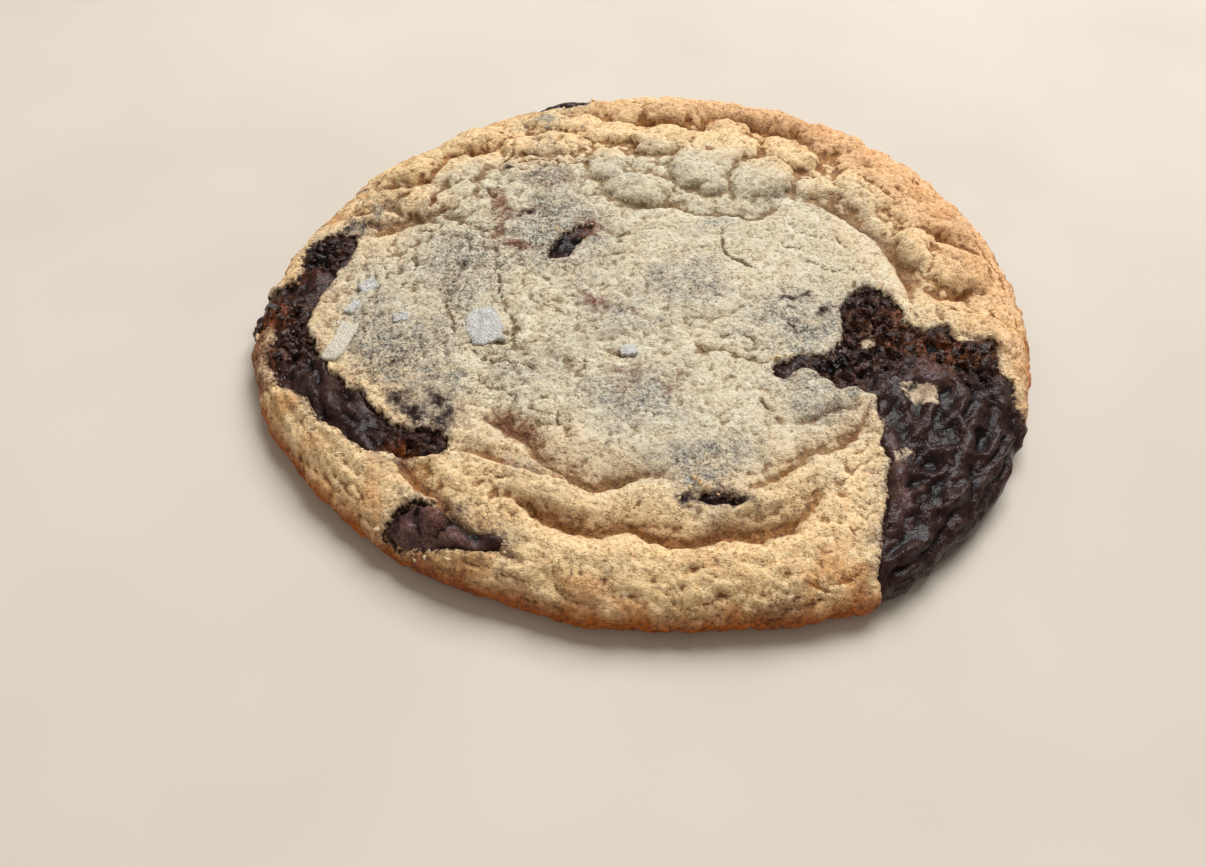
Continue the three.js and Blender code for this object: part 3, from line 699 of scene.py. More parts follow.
def swells(xyz, bend, ring):
    """Broad and small swells and crumb, in millimetres."""
    broad = pillowed(rim_noise(xyz, bend, 4.6, 3.2, 30))
    small = pillowed(rim_noise(xyz, bend, 2.1, 1.6, 31))
    lump, _, _, _ = cells(xyz + 0.3 * np.column_stack([bend, bend[:, 0]]), 1.25, 52)
    crumb = 0.45 - np.clip(lump, 0, 0.9)
    return (0.42 + 0.2 * ring) * (broad - 0.4) + 0.32 * (small - 0.4) + 0.28 * crumb


def breaks(xyz, bend, ring):
    """How strongly each place is creased, nicked and pitted by pores."""
    torn = smoothstep(space_noise(xyz, 4.0, 34), 0.0, 0.45)
    crease = np.exp(-((rim_noise(xyz, bend, 3.4, 1.9, 36) / 0.11) ** 2)) * torn * (0.45 + 0.55 * ring)
    nicked = smoothstep(space_noise(xyz, 1.7, 40), 0.25, 0.6)
    nick = np.exp(-((rim_noise(xyz, bend, 1.6, 0.9, 38) / 0.16) ** 2)) * nicked
    speck, _, own, _ = cells(xyz + 0.25 * np.column_stack([bend, bend[:, 0]]), 1.4, 56)
    near_front = smoothstep(-xyz[:, 1], 28, 44)
    pore = np.exp(-((speck / (0.3 + 0.12 * own)) ** 2))
    return crease, nick, pore * (own > 0.84 - 0.35 * space_noise(xyz, 6.0, 58) - 0.25 * near_front)


def gaps(xyz):
    """Winding gaps between clusters of crumb."""
    wave = space_noise(xyz, 5.5, 46) + 0.4 * space_noise(xyz, 2.2, 47) + 0.15 * space_noise(xyz, 0.9, 49)
    clustered = spots(xyz[:, :2], CLUSTERED) * smoothstep(space_noise(xyz, 3.0, 48), -0.35, 0.15)
    return np.exp(-((wave / 0.085) ** 2)) * clustered


# %% Fine relief of the dough
CREASE_CUT, NICK_CUT, PORE_CUT, GAP_CUT = 0.34, 0.12, 0.32, 0.5


def fine_relief(xyz, ring):
    """How far each point of the dough stands out, and how strongly it is torn or pitted there."""
    bend = np.stack([0.9 * space_noise(xyz, 2.6, 20 + k) + 0.3 * space_noise(xyz, 0.9, 22 + k)
                     for k in range(2)], axis=1)
    crease, nick, pore = breaks(xyz, bend, ring)
    gap = gaps(xyz)
    quiet = 1 - 0.7 * spots(xyz[:, :2], QUIET)
    cut = CREASE_CUT * crease + NICK_CUT * nick + PORE_CUT * pore
    grit = 0.1 * space_noise(xyz, 1.2, 60) + 0.08 * space_noise(xyz, 0.6, 61)
    relief = quiet * (swells(xyz, bend, ring) - cut) - GAP_CUT * gap + grit
    torn_up = np.maximum(np.maximum(0.5 * crease, 0.3 * nick), pore) * quiet**2
    return relief, np.clip(np.maximum(torn_up, 0.9 * gap), 0, 1)


# %% Laying the relief on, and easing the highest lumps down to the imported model's height
EASED_ABOVE, EASED_BY = 10.1, 0.7

ring_share = smoothstep(share_of_radius(dough_xyz[:, :2]), 0.5, 0.78)
relief, pits = fine_relief(dough_xyz, ring_share)
on_underside = dough_xyz[:, 2] < 0.05
relief = np.where(on_underside, -0.15 * pits, relief)
dough_xyz += relief[:, None] * directions(dough_xyz, dough_faces)
over_the_top = np.maximum(dough_xyz[:, 2] - EASED_ABOVE, 0)
dough_xyz[:, 2] += EASED_BY * np.tanh(over_the_top / EASED_BY) - over_the_top
dough_xyz[:, 2] = np.maximum(dough_xyz[:, 2], 0)
dough_normal = directions(dough_xyz, dough_faces)
fine_hollow = hollowness(dough_xyz, dough_faces, dough_normal, 6)
broad_hollow = hollowness(dough_xyz, dough_faces, dough_normal, 60)
print("relief from", relief.min().round(2), "to", relief.max().round(2), "mm")
print("fine hollows:", np.percentile(fine_hollow, [2, 25, 50, 75, 98]).round(3), "mm, and broad ones:",
      np.percentile(broad_hollow, [2, 25, 50, 75, 98]).round(3), "mm")

# %% [markdown]
# ## Where the colours go
#
# The colours of a cookie follow its making: pale where the soft middle stayed moist, golden on the
# ring, brown where the edge touched the tray, grey where chocolate shows through thin dough, and
# rusty where its fat soaked in. Folds, cracks, pits and hollows are painted darker, as shade. These
# fields are worked out on the mesh and kept as attributes, so the finish can mix real colours by
# them, and they stay in place from every side.

# %% Fields of colour
FILM = [  # x, y, half length, half width, turn, strength: chocolate seen grey through thin dough
    (-16, 12.5, 9.5, 9.5, 0, 0.95), (-17.5, 25.5, 6.5, 4, 10, 0.9), (-18, 33, 5, 3.4, 0, 0.5),
    (-18.5, 41.5, 4.6, 3, 10, 0.8), (-25, 40.5, 2.6, 2.2, 0, 0.6), (7, 0, 7, 8, 0, 1.0),
    (-3, -6, 9, 6, -20, 0.7), (-9, 0, 5, 5, 0, 0.55), (-37, -14, 9, 9, 0, 0.95),
    (-32, -25.5, 7, 5, -35, 1.0), (-42, -4, 5, 8, 0, 0.6), (22, -8, 7.5, 7, 40, 1.0),
    (24, -22.5, 5.5, 4.5, 30, 0.95), (13, -8, 6, 5, 0, 0.5), (7, -35, 6.5, 5, 10, 0.95),
    (-3, -24, 9, 7, 0, 0.75), (-18, -19, 7, 4, 20, 0.6), (-10, -13, 8, 5, 0, 0.35),
    (10, 16, 6, 2.4, 0, 0.6), (-3, 27, 4, 4, 0, 0.35), (20, 21, 5, 2.5, 20, 0.45),
    (36, 13, 2.4, 5, 30, 0.45), (-44, 17.5, 4, 4, 40, 0.6), (-49, 11, 4, 3, 0, 0.6),
    (-46, 23, 6, 2, 5, 0.5), (-20, -36.5, 4, 2, -20, 0.4), (-29, 2, 8, 9, 0, 0.6),
]
RUST = [  # the same, for reddish fat stains
    (-25.2, 18, 1.4, 5.0, 4, 1.0), (-24.3, 12.4, 1.4, 5.6, -14, 1.0), (-21.4, 8.2, 3.6, 1.2, -22, 0.95),
    (-20.5, 16.4, 3, 0.8, 25, 0.8), (-16.5, 25.5, 4.5, 3, 0, 0.5), (-10.4, 13.2, 2.6, 2.6, 40, 0.95),
    (-14, 3.8, 2, 1.2, 0, 0.5), (-8.5, -4.5, 2.6, 1.6, -20, 0.7), (-4, -19, 4, 3.4, 0, 0.45),
    (2.8, -21.5, 1.8, 3, 0, 0.5), (-4.5, -23, 2.4, 1.4, 0, 0.5), (-1, 18.6, 3, 0.8, 0, 0.5),
    (-19.4, -29.6, 4, 1.8, -35, 0.9), (-59, -9, 5, 5, 0, 1.0), (-57.6, -16, 3.4, 6, 20, 1.0),
    (-34.4, -34.6, 2.4, 1.4, -30, 0.8), (-31, -51, 8, 2.2, -22, 0.5), (15, -55.6, 4, 1.4, 10, 0.5),
    (-14, -55, 3, 1.4, -10, 0.4),
]
COCOA = [  # the same, for smears of dark chocolate on the dough
    (22, -2.6, 2.8, 0.8, 10, 0.95), (22.4, -6.4, 2.2, 0.7, -30, 0.95), (26, -6, 2.4, 0.8, 60, 0.95),
    (21, -9.6, 0.7, 1.6, 0, 0.7), (-20, 16.6, 2.2, 0.6, 30, 0.9), (-16, 14.8, 1.4, 0.5, 0, 0.7),
    (-25, 29.5, 1.3, 1.2, 40, 0.95), (-20.6, 26.4, 1.6, 0.8, 20, 0.7), (-34, -27, 6, 2.4, -42, 0.95),
    (-31, -24.6, 3, 2.2, -20, 0.75), (-37.5, -18, 3.4, 0.8, 40, 0.7), (-41, -17, 0.8, 1.6, 0, 0.6),
    (-34.5, -14, 0.6, 2.4, 20, 0.6), (-47, 24.8, 3.6, 1.0, 3, 0.85), (-43.4, 18, 2.6, 1.2, 45, 0.85),
    (-48.6, 12, 3, 2.0, 0, 0.95), (17.4, -28, 0.4, 0.9, 20, 0.9), (-41.8, -4.6, 0.35, 0.7, 0, 0.9),
    (4.4, -40.7, 2.2, 0.8, 20, 1.0), (11.4, -42, 2.4, 0.8, -25, 1.0), (8, -41, 5, 1.8, 0, 0.5),
    (-27, -45.6, 9, 3.6, -30, 0.5), (24.6, 19.2, 3, 0.6, 0, 0.5), (26, -26.4, 2.4, 0.5, 35, 0.5),
    (-30, -29, 4, 3, 0, 0.7), (30, -14, 3, 5, 0, 0.4),
]
STILL_PALE = [  # the same, for a crust that has stayed pale
    (-45, -3, 10, 16, 0, 1.0), (-30, 26, 9, 8, 0, 0.7), (-36, 10, 8, 9, 0, 0.9), (4, 27, 14, 6, 0, 0.3),
]
FLECKED = [  # the same, for a crumb full of dark flecks
    (-37, -14, 11, 10, 0, 1.0), (-16, 12, 11, 11, 0, 0.8), (22, -8, 8, 8, 0, 0.9),
    (-24, -20, 8, 6, 0, 0.7), (7, -34, 7, 5, 0, 0.6), (-29, 4, 10, 12, 0, 1.0), (24, -22, 6, 5, 0, 0.7),
    (-18, 27, 8, 6, 0, 0.8), (6, 0, 8, 9, 0, 0.4), (-46, 18, 5, 7, 0, 0.9),
]
print(len(FILM + RUST + COCOA), "stains are placed one by one")

# %% Fields from places and noise
SMEAR_WANDER = [(1.7, 0.9), (0.7, 0.45)]
FILM_WANDER = [(7.0, 2.6), (2.4, 0.9)]
TO_BACK_RIGHT = np.array([0.75, 0.66])


def browned(xyz, share, broad, ragged):
    """Where the oven has coloured the dough."""
    xy = xyz[:, :2]
    earlier = 0.13 * smoothstep(xy[:, 1], 26, 40) - 0.2 * spots(xy, STILL_PALE)
    golden = smoothstep(share + 0.06 * broad + 0.03 * ragged + earlier, 0.48, 0.84)
    sunny = np.clip((xy @ TO_BACK_RIGHT) / MEAN_RADIUS, 0, 1)
    apricot = smoothstep(share, 0.68, 0.86) * smoothstep(sunny, 0.3, 0.9)
    baked = smoothstep(-xyz[:, 2] + 0.6 * ragged, -6.4, -2.6) * smoothstep(share, 0.86, 0.96)
    blotch = smooth_noise(*(xy / 3.2).T, 73, z=xyz[:, 2] / 2.2)
    toasted = smoothstep(blotch + 0.35 * ragged, -0.1, 0.6) * smoothstep(share, 0.8, 0.93)
    return {"golden": golden, "apricot": apricot, "baked": baked, "toasted": 0.55 * toasted}


def shaded(xy, share, ragged):
    """Where folds and cracks are painted darker, as shade."""
    folded = wandering(xy, 100)
    crease = np.clip(fold_depth(folded, FOLDS) / 1.8, 0, 1) ** 1.6 * smoothstep(share, 0.3, 0.62)
    line = fold_lines(folded) * np.clip(0.7 + 0.7 * ragged, 0, 1)
    return {"crease": crease, "crack": np.maximum(np.clip(crack_depth(xy) / 0.33, 0, 1), 0.9 * line)}


def stained(xy, shore, broad, ragged):
    """Where chocolate and its fat have coloured the dough."""
    beside_pool = np.exp(-np.clip(-shore, 0, 9) / 2.6) * np.clip(0.65 + 0.6 * broad, 0, 1)
    film = np.maximum(1.3 * spots(wandering(xy, 160, FILM_WANDER), FILM), 0.8 * beside_pool)
    smeared = wandering(xy, 150, SMEAR_WANDER)
    return {"film": film * np.clip(0.85 + 0.5 * broad + 0.4 * ragged, 0, 1.2),
            "rust": spots(smeared, RUST) * np.clip(0.9 + 0.6 * ragged, 0, 1.2),
            "cocoa": spots(smeared, COCOA) * np.clip(0.8 + 0.7 * ragged, 0, 1.2),
            "flecked": spots(xy, FLECKED) * (0.9 + 0.6 * broad),
            "by_shore": 1 + shore / 1.6}


def colour_fields(xyz, shore):
    """All fields by name, each from 0 to 1."""
    xy = xyz[:, :2]
    share = share_of_radius(xy)
    broad = flat_noise(xy, 6, 70)
    ragged = flat_noise(xy, 1.6, 71)
    raw = browned(xyz, share, broad, ragged) | shaded(xy, share, ragged) | stained(xy, shore, broad, ragged)
    return {name: np.clip(values, 0, 1) for name, values in raw.items()}


# %% All fields of the dough
SALTED = [(-36, -6, 13, 10, 0, 1.0), (-16, -14, 12, 8, 0, 0.5), (-14, 10, 8, 10, 0, 0.6),
          (-20, 36, 8, 5, 0, 0.5)]
fields = colour_fields(dough_xyz, shore_depth)
# hollow: the finish paints the hollows of the dough darker by it, as shade
fields["hollow"] = np.clip(0.5 + 1.8 * fine_hollow + 0.4 * broad_hollow, 0, 1)
# pitted: pores, creases and gaps in the relief, which the finish paints dark as shade
fields["pitted"] = pits
fields["shed"] = smoothstep(shore_depth, -3.0, -1.0) * (shore_depth < -0.3) * (dough_normal[:, 2] > 0.5)
fields["salted"] = spots(dough_xyz[:, :2], SALTED) * (dough_normal[:, 2] > 0.6)
fields["underside"] = smoothstep(-dough_xyz[:, 2], -0.8, -0.1)
print("mean of each field:", {name: round(float(field.mean()), 3) for name, field in fields.items()})

# %% [markdown]
# ## From arrays to a Blender mesh
#
# A mesh made by from_pydata is slow for a hundred thousand points, so the arrays are handed over
# with foreach_set. Every field becomes a float attribute on the points.

# %% Making a mesh object
def mesh_object(name, xyz, faces, fields=None):
    mesh = bpy.data.meshes.new(name)
    mesh.vertices.add(len(xyz))
    mesh.loops.add(3 * len(faces))
    mesh.polygons.add(len(faces))
    mesh.vertices.foreach_set("co", in_metres(xyz).astype(np.float32).ravel())
    mesh.loops.foreach_set("vertex_index", faces.astype(np.int32).ravel())
    mesh.polygons.foreach_set("loop_start", np.arange(0, 3 * len(faces), 3, dtype=np.int32))
    mesh.update(calc_edges=True)
    mesh.polygons.foreach_set("use_smooth", np.ones(len(faces), bool))
    if mesh.validate():
        print(name, "had faces that were the same or had no area, and they were taken out")
    for field, values in (fields or {}).items():
        layer = mesh.attributes.new(field, "FLOAT", "POINT")
        layer.data.foreach_set("value", values.astype(np.float32))
    piece = bpy.data.objects.new(name, mesh)
    bpy.context.scene.collection.objects.link(piece)
    print(name, "has", len(faces), "triangles")
    return piece


dough = mesh_object("baked_dough", dough_xyz, dough_faces, fields)

# %% [markdown]
# ## The chocolate's skin
#
# Melted chocolate that was baked is wrinkled and blistered. In places it is broken and crumbly, and
# in others it sets in smooth folds that run along the rim. The same rings make it, with a lower top.
# Beyond its shore the skin dives under the dough, so where the two cross is the shore that shows.

# %% Relief of the chocolate
CHOCOLATE_SINK = 0.7
CHOCOLATE_WRINKLE, CHOCOLATE_WRINKLE_SPAN = 0.45, 4.2
CALM = [(38.2, -21.4, 4.6, 3.4, -10, 0.8), (40.8, -17, 4.6, 3.0, -20, 0.8), (31.6, -12.4, 2.4, 2.0, 0, 0.8)]
CRUMBLY_PLACES = [(34, -9, 9), (27, -18, 5), (46, -14, 6), (-55, -12, 8), (-33, -31, 5), (-52, 6, 4)]
SMOOTH_LUMPS = [  # x, y, half length, half width, turn, rise: smooth swellings in the chocolate
    (40.6, -17.4, 4.2, 3.0, -20, 1.1), (43, -29.5, 5.5, 1.9, 62, 1.0), (47.5, -31.5, 4.2, 1.8, 60, 0.9),
    (45, -37, 4.6, 2.2, 50, 1.0), (38, -27, 4.6, 1.5, 62, 0.8), (39.5, -41.5, 5.5, 1.7, 56, 1.0),
    (35, -47, 4.4, 1.9, 60, 0.9), (41, -47, 4.4, 1.9, 48, 0.8), (48.8, -14, 2.6, 3.4, 0, 0.9),
    (33.4, -4.6, 2.0, 2.6, 0, 0.5), (42.6, -9.6, 2.8, 1.6, -20, 0.7), (33.2, -38.5, 1.3, 4.4, 0, 0.7),
    (50.5, -21, 1.7, 3.6, 12, 0.8), (44, -22, 2.0, 4.4, -30, 0.7), (-44.6, -26.6, 6, 1.8, -42, 0.9),
    (-53.6, 5, 1.8, 4, 10, 0.7), (-58, -5.6, 2.4, 2.8, 0, 0.8), (-37.6, -32, 4.4, 1.3, -25, 0.6),
    (-17, 53.2, 5.0, 1.6, -4, 1.0), (-29.4, -45.6, 1.7, 1.9, 20, 2.3), (-32.6, -46.6, 1.5, 1.4, 0, 1.6),
    (-26.6, -48.2, 1.5, 1.1, -20, 1.4),
]


def swellings(xy, table):
    rise = np.zeros(len(xy))
    for x, y, length, width, turn, height in table:
        rise = np.maximum(rise, height * np.exp(-(oval(xy, x, y, length, width, turn) ** 3.2)))
    return rise


def crumbliness(xy):
    near = [np.exp(-((np.linalg.norm(xy - (x, y), axis=1) / radius) ** 4))
            for x, y, radius in CRUMBLY_PLACES]
    return np.max(near, axis=0)


def chocolate_top(xy):
    wrinkle = 1 - 2 * np.abs(flat_noise(xy, CHOCOLATE_WRINKLE_SPAN, LAYERS["wrinkles"]))
    swell = swellings(wandering(xy, 110), SMOOTH_LUMPS)
    return slab(xy) - CHOCOLATE_SINK + CHOCOLATE_WRINKLE * wrinkle + swell


def chocolate_relief(xyz):
    """Crisp lumps along the rim where the chocolate flowed, and tilted shards where it broke up."""
    xy = xyz[:, :2]
    rough = crumbliness(xy)
    outwards = np.linalg.norm(xy, axis=1) - xyz[:, 2]
    bend = np.stack([0.8 * flat_noise(xy, 3, 80 + k) for k in range(2)], axis=1)
    flow = pillowed(smooth_noise(*((xy + bend) / 8.0).T, 82, z=(outwards + bend[:, 0]) / 2.6))
    knots = pillowed(smooth_noise(*((xy - bend) / 3.6).T, 84, z=(outwards - bend[:, 1]) / 1.6))
    fold = pillowed(smooth_noise(*((xy + 0.6 * bend) / 5.0).T, 94, z=(outwards + bend[:, 1]) / 1.8))
    grit = space_noise(xyz, 0.8, 90)
    smooth_part = 1.2 * (flow - 0.4) + 0.6 * (knots - 0.4) + 0.45 * ((1 - fold) ** 3 - 0.3)
    shard, other, own, way = cells(xyz + 0.5 * np.column_stack([bend, 0 * rough]), 1.7, 86)
    tilt = way[:, 0] * np.cos(9 * own) + way[:, 1] * np.sin(9 * own)
    gap = np.exp(-(((other - shard) / 0.22) ** 2))
    fibres = 1 - 2 * np.abs(smooth_noise(*((xy + 0.4 * bend) / 0.9).T, 88))
    rough_part = 0.5 * own + 0.85 * tilt - 0.4 * gap + 0.22 * fibres + 0.4 * (flow - 0.4)
    whole = (1 - rough) * smooth_part + rough * rough_part + 0.06 * grit
    return whole * (1 - 0.85 * spots(xy, CALM))


chocolate_xyz, chocolate_faces = cookie_skin(chocolate_top)
chocolate_lift = chocolate_relief(chocolate_xyz)
chocolate_normal = directions(chocolate_xyz, chocolate_faces)
chocolate_lift = np.where(chocolate_xyz[:, 2] < 0.05, 0, chocolate_lift)
chocolate_xyz += chocolate_lift[:, None] * chocolate_normal
chocolate_xyz[:, 2] = np.maximum(chocolate_xyz[:, 2], 0)
print("chocolate relief from", chocolate_lift.min().round(2), "to", chocolate_lift.max().round(2), "mm")

# %% [markdown]
# ## Cutting each pool out of the chocolate's skin
#
# A pool is the part of that skin over its own shore, down to where the pool ends. Beyond the shore
# the skin dives under the dough, and a column that is a little wider than the pool cuts it off
# there, where nobody sees the cut. Only the right pool runs through to the underside. The cut can
# leave a few faces without area, so each new mesh is validated before it gets its attributes.

# %% Tones that lie on the chocolate, and painted shade on it: x, y, half length, half width, turn, strength
POOL_TONES = {
    "caramel": [(-59.6, -8.4, 4.6, 4.4, 70, 1.0), (-58.4, -15.4, 2.6, 5.4, 15, 0.9),
                (-34.4, -34.4, 2.6, 1.4, -30, 0.9), (-28.4, -45.0, 1.1, 2.0, 15, 0.8),
                (42, -12.6, 7, 2.4, -10, 0.7), (36, -7.4, 5, 3, 20, 0.4), (-52.6, 1.6, 3, 2, 0, 0.35),
                (-10.4, 12.6, 2.4, 1.6, 40, 0.35), (49, -12.6, 3, 2, 0, 0.4)],
    "dusty": [(-29, -46.4, 9, 5, -20, 1.0), (-36, -26, 5, 2.0, -40, 0.7), (-46.6, 3, 1.8, 5, 0, 0.5),
              (40.4, -17.4, 4.4, 3.0, -20, 0.6), (33.4, -4, 2.6, 2.6, 0, 0.6), (8, -39.4, 6, 1.4, 0, 0.8),
              (28.6, -20, 3.4, 1.6, 30, 0.6), (32.6, -38, 1.0, 8, 0, 0.7), (-54, -15, 2, 4, 20, 0.3)],
    # dark: painted shade, near-black, in crevices, in the middle pool's hole and along shores beside the
    # dough
    "dark": [(-13.6, 9, 3.4, 6, 60, 1.0), (-53, 6, 4, 5, 0, 0.9), (-51, -19, 6, 2.4, -55, 0.5),
             (33, -3.4, 2, 4, 30, 0.6), (24, -17, 6, 2, 0, 0.9), (30, -16, 3, 3, 0, 0.6),
             (8, -41.6, 6, 1.2, -10, 0.9), (-24.2, -46.6, 4.6, 1.5, -28, 1.0), (48, -12.6, 4, 2.4, 0, 0.7),
             (-34.2, -45, 1.2, 1.6, 0, 0.9), (-31.2, -44.4, 0.9, 1.8, 10, 0.9)],
    "floury": [(38.2, -21.4, 3.1, 2.2, -10, 1.0), (34.2, -33.2, 2.0, 1.8, 0, 0.6),
               (31.6, -12.4, 1.5, 1.2, 0, 0.75), (47, -39.4, 1.6, 1.0, 40, 0.4)],
}

# %% Cutting with a column
SHORE_MARGIN = 1.3
DIVE = 2.6
COLUMN_MARGIN, COLUMN_TOP, BELOW_FLOOR = SHORE_MARGIN + 0.2, 15, 0.3


def column_over(name):
    """A straight-walled column over a pool, wider than its shore by the margin."""
    loop = smooth_line(POOLS[name], closed=True, detail=3)
    if np.cross(loop, np.roll(loop, -1, axis=0)).sum() < 0:
        loop = loop[::-1]
    along = np.roll(loop, -1, axis=0) - np.roll(loop, 1, axis=0)
    outwards = np.stack([along[:, 1], -along[:, 0]], axis=1) / np.linalg.norm(along, axis=1)[:, None]
    edge = loop + COLUMN_MARGIN * outwards
    n = len(edge)
    low = np.column_stack([edge, np.full(n, POOL_FLOOR[name] - BELOW_FLOOR)])
    high = np.column_stack([edge, np.full(n, COLUMN_TOP)])
    sides = [(i, (i + 1) % n, (i + 1) % n + n, i + n) for i in range(n)]
    mesh = bpy.data.meshes.new("column")
    caps = [tuple(range(n))[::-1], tuple(range(n, 2 * n))]
    mesh.from_pydata(in_metres(np.vstack([low, high])).tolist(), [], sides + caps)
    column = bpy.data.objects.new("column", mesh)
    bpy.context.scene.collection.objects.link(column)
    return column


def kept_inside(piece, column):
    """Cuts a piece down to what lies inside the column, as a plain mesh, and removes the column."""
    cut = piece.modifiers.new("cut", "BOOLEAN")
    cut.operation, cut.solver, cut.object = "INTERSECT", "MANIFOLD", column
    evaluated = piece.evaluated_get(bpy.context.evaluated_depsgraph_get())
    whole, piece.data = piece.data, bpy.data.meshes.new_from_object(evaluated)
    piece.modifiers.clear()
    bpy.data.meshes.remove(whole)
    bpy.data.objects.remove(column)


def points_and_triangles(mesh):
    mesh.calc_loop_triangles()
    xyz = np.empty(3 * len(mesh.vertices), np.float32)
    mesh.vertices.foreach_get("co", xyz)
    faces = np.empty(3 * len(mesh.loop_triangles), np.int32)
    mesh.loop_triangles.foreach_get("vertices", faces)
    return xyz.reshape(-1, 3).astype(float) / MM - [*SHIFT, 0], faces.reshape(-1, 3)


def pool_piece(name):
    """One pool: its skin dives under the dough, is cut off there, and gets its fields."""
    depth = frayed_depth(name, chocolate_xyz[:, :2])
    dive = DIVE * smoothstep(-depth, -0.25, SHORE_MARGIN)
    skin = mesh_object(name, chocolate_xyz - dive[:, None] * chocolate_normal, chocolate_faces)
    kept_inside(skin, column_over(name))
    xyz, faces = points_and_triangles(skin.data)
    bpy.data.objects.remove(skin)
    normal = directions(xyz, faces)
    hollow = hollowness(xyz, faces, normal, 10)
    crumbly = crumbliness(xyz[:, :2])
    in_sight = smoothstep(frayed_depth(name, xyz[:, :2]), 0.1, 0.8) * (normal[:, 2] > 0.3)
    # hollow: the finish paints the hollows of the chocolate near-black by it, as shade
    fields = {"crumbly": crumbly, "hollow": np.clip(0.5 + 1.8 * hollow, 0, 1),
              "loose": in_sight * smoothstep(crumbly, 0.2, 0.8) * (spots(xyz[:, :2], CALM) < 0.3)}
    ragged = flat_noise(xyz[:, :2], 1.3, 95)
    for tone, table in POOL_TONES.items():
        fields[tone] = np.clip(spots(xyz[:, :2], table) * (0.9 + 0.6 * ragged), 0, 1)
    piece = mesh_object(name.replace("chocolate", "melted"), xyz, faces, fields)
    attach(piece, "root")
    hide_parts(name)
    return piece


pools = [pool_piece(name) for name in POOLS]

# %% [markdown]
# ## Mixing finishes
#
# Each finish is one shader whose colour is mixed in steps, as a painter would: a ground colour,
# then tones over it, each let through by a mask. A mask is either a field from the mesh or a grain
# made of noise in the object's own space, so nothing depends on the camera or on the light.

# %% Nodes, tones and sums
def start_finish(name):
    material = bpy.data.materials.new(name)
    material.use_nodes = True
    tree = material.node_tree
    return material, tree, tree.nodes["Principled BSDF"]


def plug(tree, value, socket):
    """Links an output to a socket, or writes a plain value into it."""
    if isinstance(value, bpy.types.NodeSocket):
        tree.links.new(value, socket)
    else:
        socket.default_value = value


def add(tree, kind, settings=None, **sockets):
    """A new node with its settings and with what goes into its named sockets."""
    node = tree.nodes.new(kind)
    for setting, value in (settings or {}).items():
        setattr(node, setting, value)
    for name, value in sockets.items():
        plug(tree, value, node.inputs[name.replace("_", " ")])
    return node


def colour(red, green, blue):
    """A colour as a screen shows it, from 0 to 255, as the linear values that a shader wants."""
    linear = [(v / 255 / 12.92) if v <= 10 else ((v / 255 + 0.055) / 1.055) ** 2.4
              for v in (red, green, blue)]
    return (*linear, 1)


def over(tree, ground, tone, mask):
    """A tone over a ground wherever the mask lets it through. Both may be given as screen colours."""
    node = add(tree, "ShaderNodeMix", {"data_type": "RGBA", "clamp_factor": True})
    plug(tree, mask, node.inputs[0])
    for value, socket in ((ground, node.inputs[6]), (tone, node.inputs[7])):
        plug(tree, colour(*value) if isinstance(value, tuple) else value, socket)
    return node.outputs[2]


def painted(tree, ground, layers):
    """Tones laid over a ground one after another, each with its own mask."""
    for tone, mask in layers:
        ground = over(tree, ground, tone, mask)
    return ground


def combine(tree, how, a, b=0.0):
    node = add(tree, "ShaderNodeMath", {"operation": how})
    plug(tree, a, node.inputs[0])
    plug(tree, b, node.inputs[1])
    return node.outputs[0]


def times(tree, a, b):
    return combine(tree, "MULTIPLY", a, b)


# %% Masks from fields and grain
def field(tree, name):
    return add(tree, "ShaderNodeAttribute", {"attribute_name": name}).outputs["Fac"]


def own_space(tree):
    return add(tree, "ShaderNodeTexCoord").outputs["Object"]


def spread(tree, value, low, high, ends=(0.0, 1.0)):
    """Stretches what lies from low to high over the whole range between the ends."""
    node = add(tree, "ShaderNodeMapRange", {"clamp": True}, Value=value, From_Min=low, From_Max=high,
               To_Min=ends[0], To_Max=ends[1])
    return node.outputs["Result"]


def kept_between(tree, mask, least, most):
    return spread(tree, mask, 0, 1, (least, most))


def grain(tree, size, detail=2.0, low=0.35, high=0.65):
    """A mask of soft noise with grains of a size in millimetres."""
    noise = add(tree, "ShaderNodeTexNoise", Vector=own_space(tree), Scale=1 / (size * MM), Detail=detail,
                Roughness=0.6)
    return spread(tree, noise.outputs["Fac"], low, high)


def patches(tree, fine, broad):
    """The mean of two grains, so that broad patches are finely broken up."""
    return times(tree, combine(tree, "ADD", fine, broad), 0.5)


def torn_edge(tree, value, noise, reach, low, high):
    """A mask whose soft edge is broken up by grain."""
    moved = times(tree, combine(tree, "SUBTRACT", noise, 0.5), reach)
    return spread(tree, combine(tree, "ADD", value, moved), low, high)


# %% Masks from cells and lines, and bumps
def crumb_cells(tree, size):
    return add(tree, "ShaderNodeTexVoronoi", {"feature": "F1"}, Vector=own_space(tree),
               Scale=1 / (size * MM), Randomness=1.0)


def own_value(tree, cells_node):
    """One random value for each cell."""
    return add(tree, "ShaderNodeSeparateColor", Color=cells_node.outputs["Color"]).outputs[0]


def broken_lines(tree, size, thin, low, high):
    """A mask of short thin lines: where one noise crosses its middle and another is strong."""
    wave = add(tree, "ShaderNodeTexNoise", Vector=own_space(tree), Scale=1 / (size * MM), Detail=2.0)
    off_middle = combine(tree, "ABSOLUTE", combine(tree, "SUBTRACT", wave.outputs["Fac"], 0.5))
    line = spread(tree, off_middle, 0.0, thin, (1.0, 0.0))
    return times(tree, line, grain(tree, 2.1 * size, 1, low, high))


def with_vectors(tree, how, a, b):
    node = add(tree, "ShaderNodeVectorMath", {"operation": how})
    plug(tree, a, node.inputs[0])
    plug(tree, b, node.inputs[1])
    return node


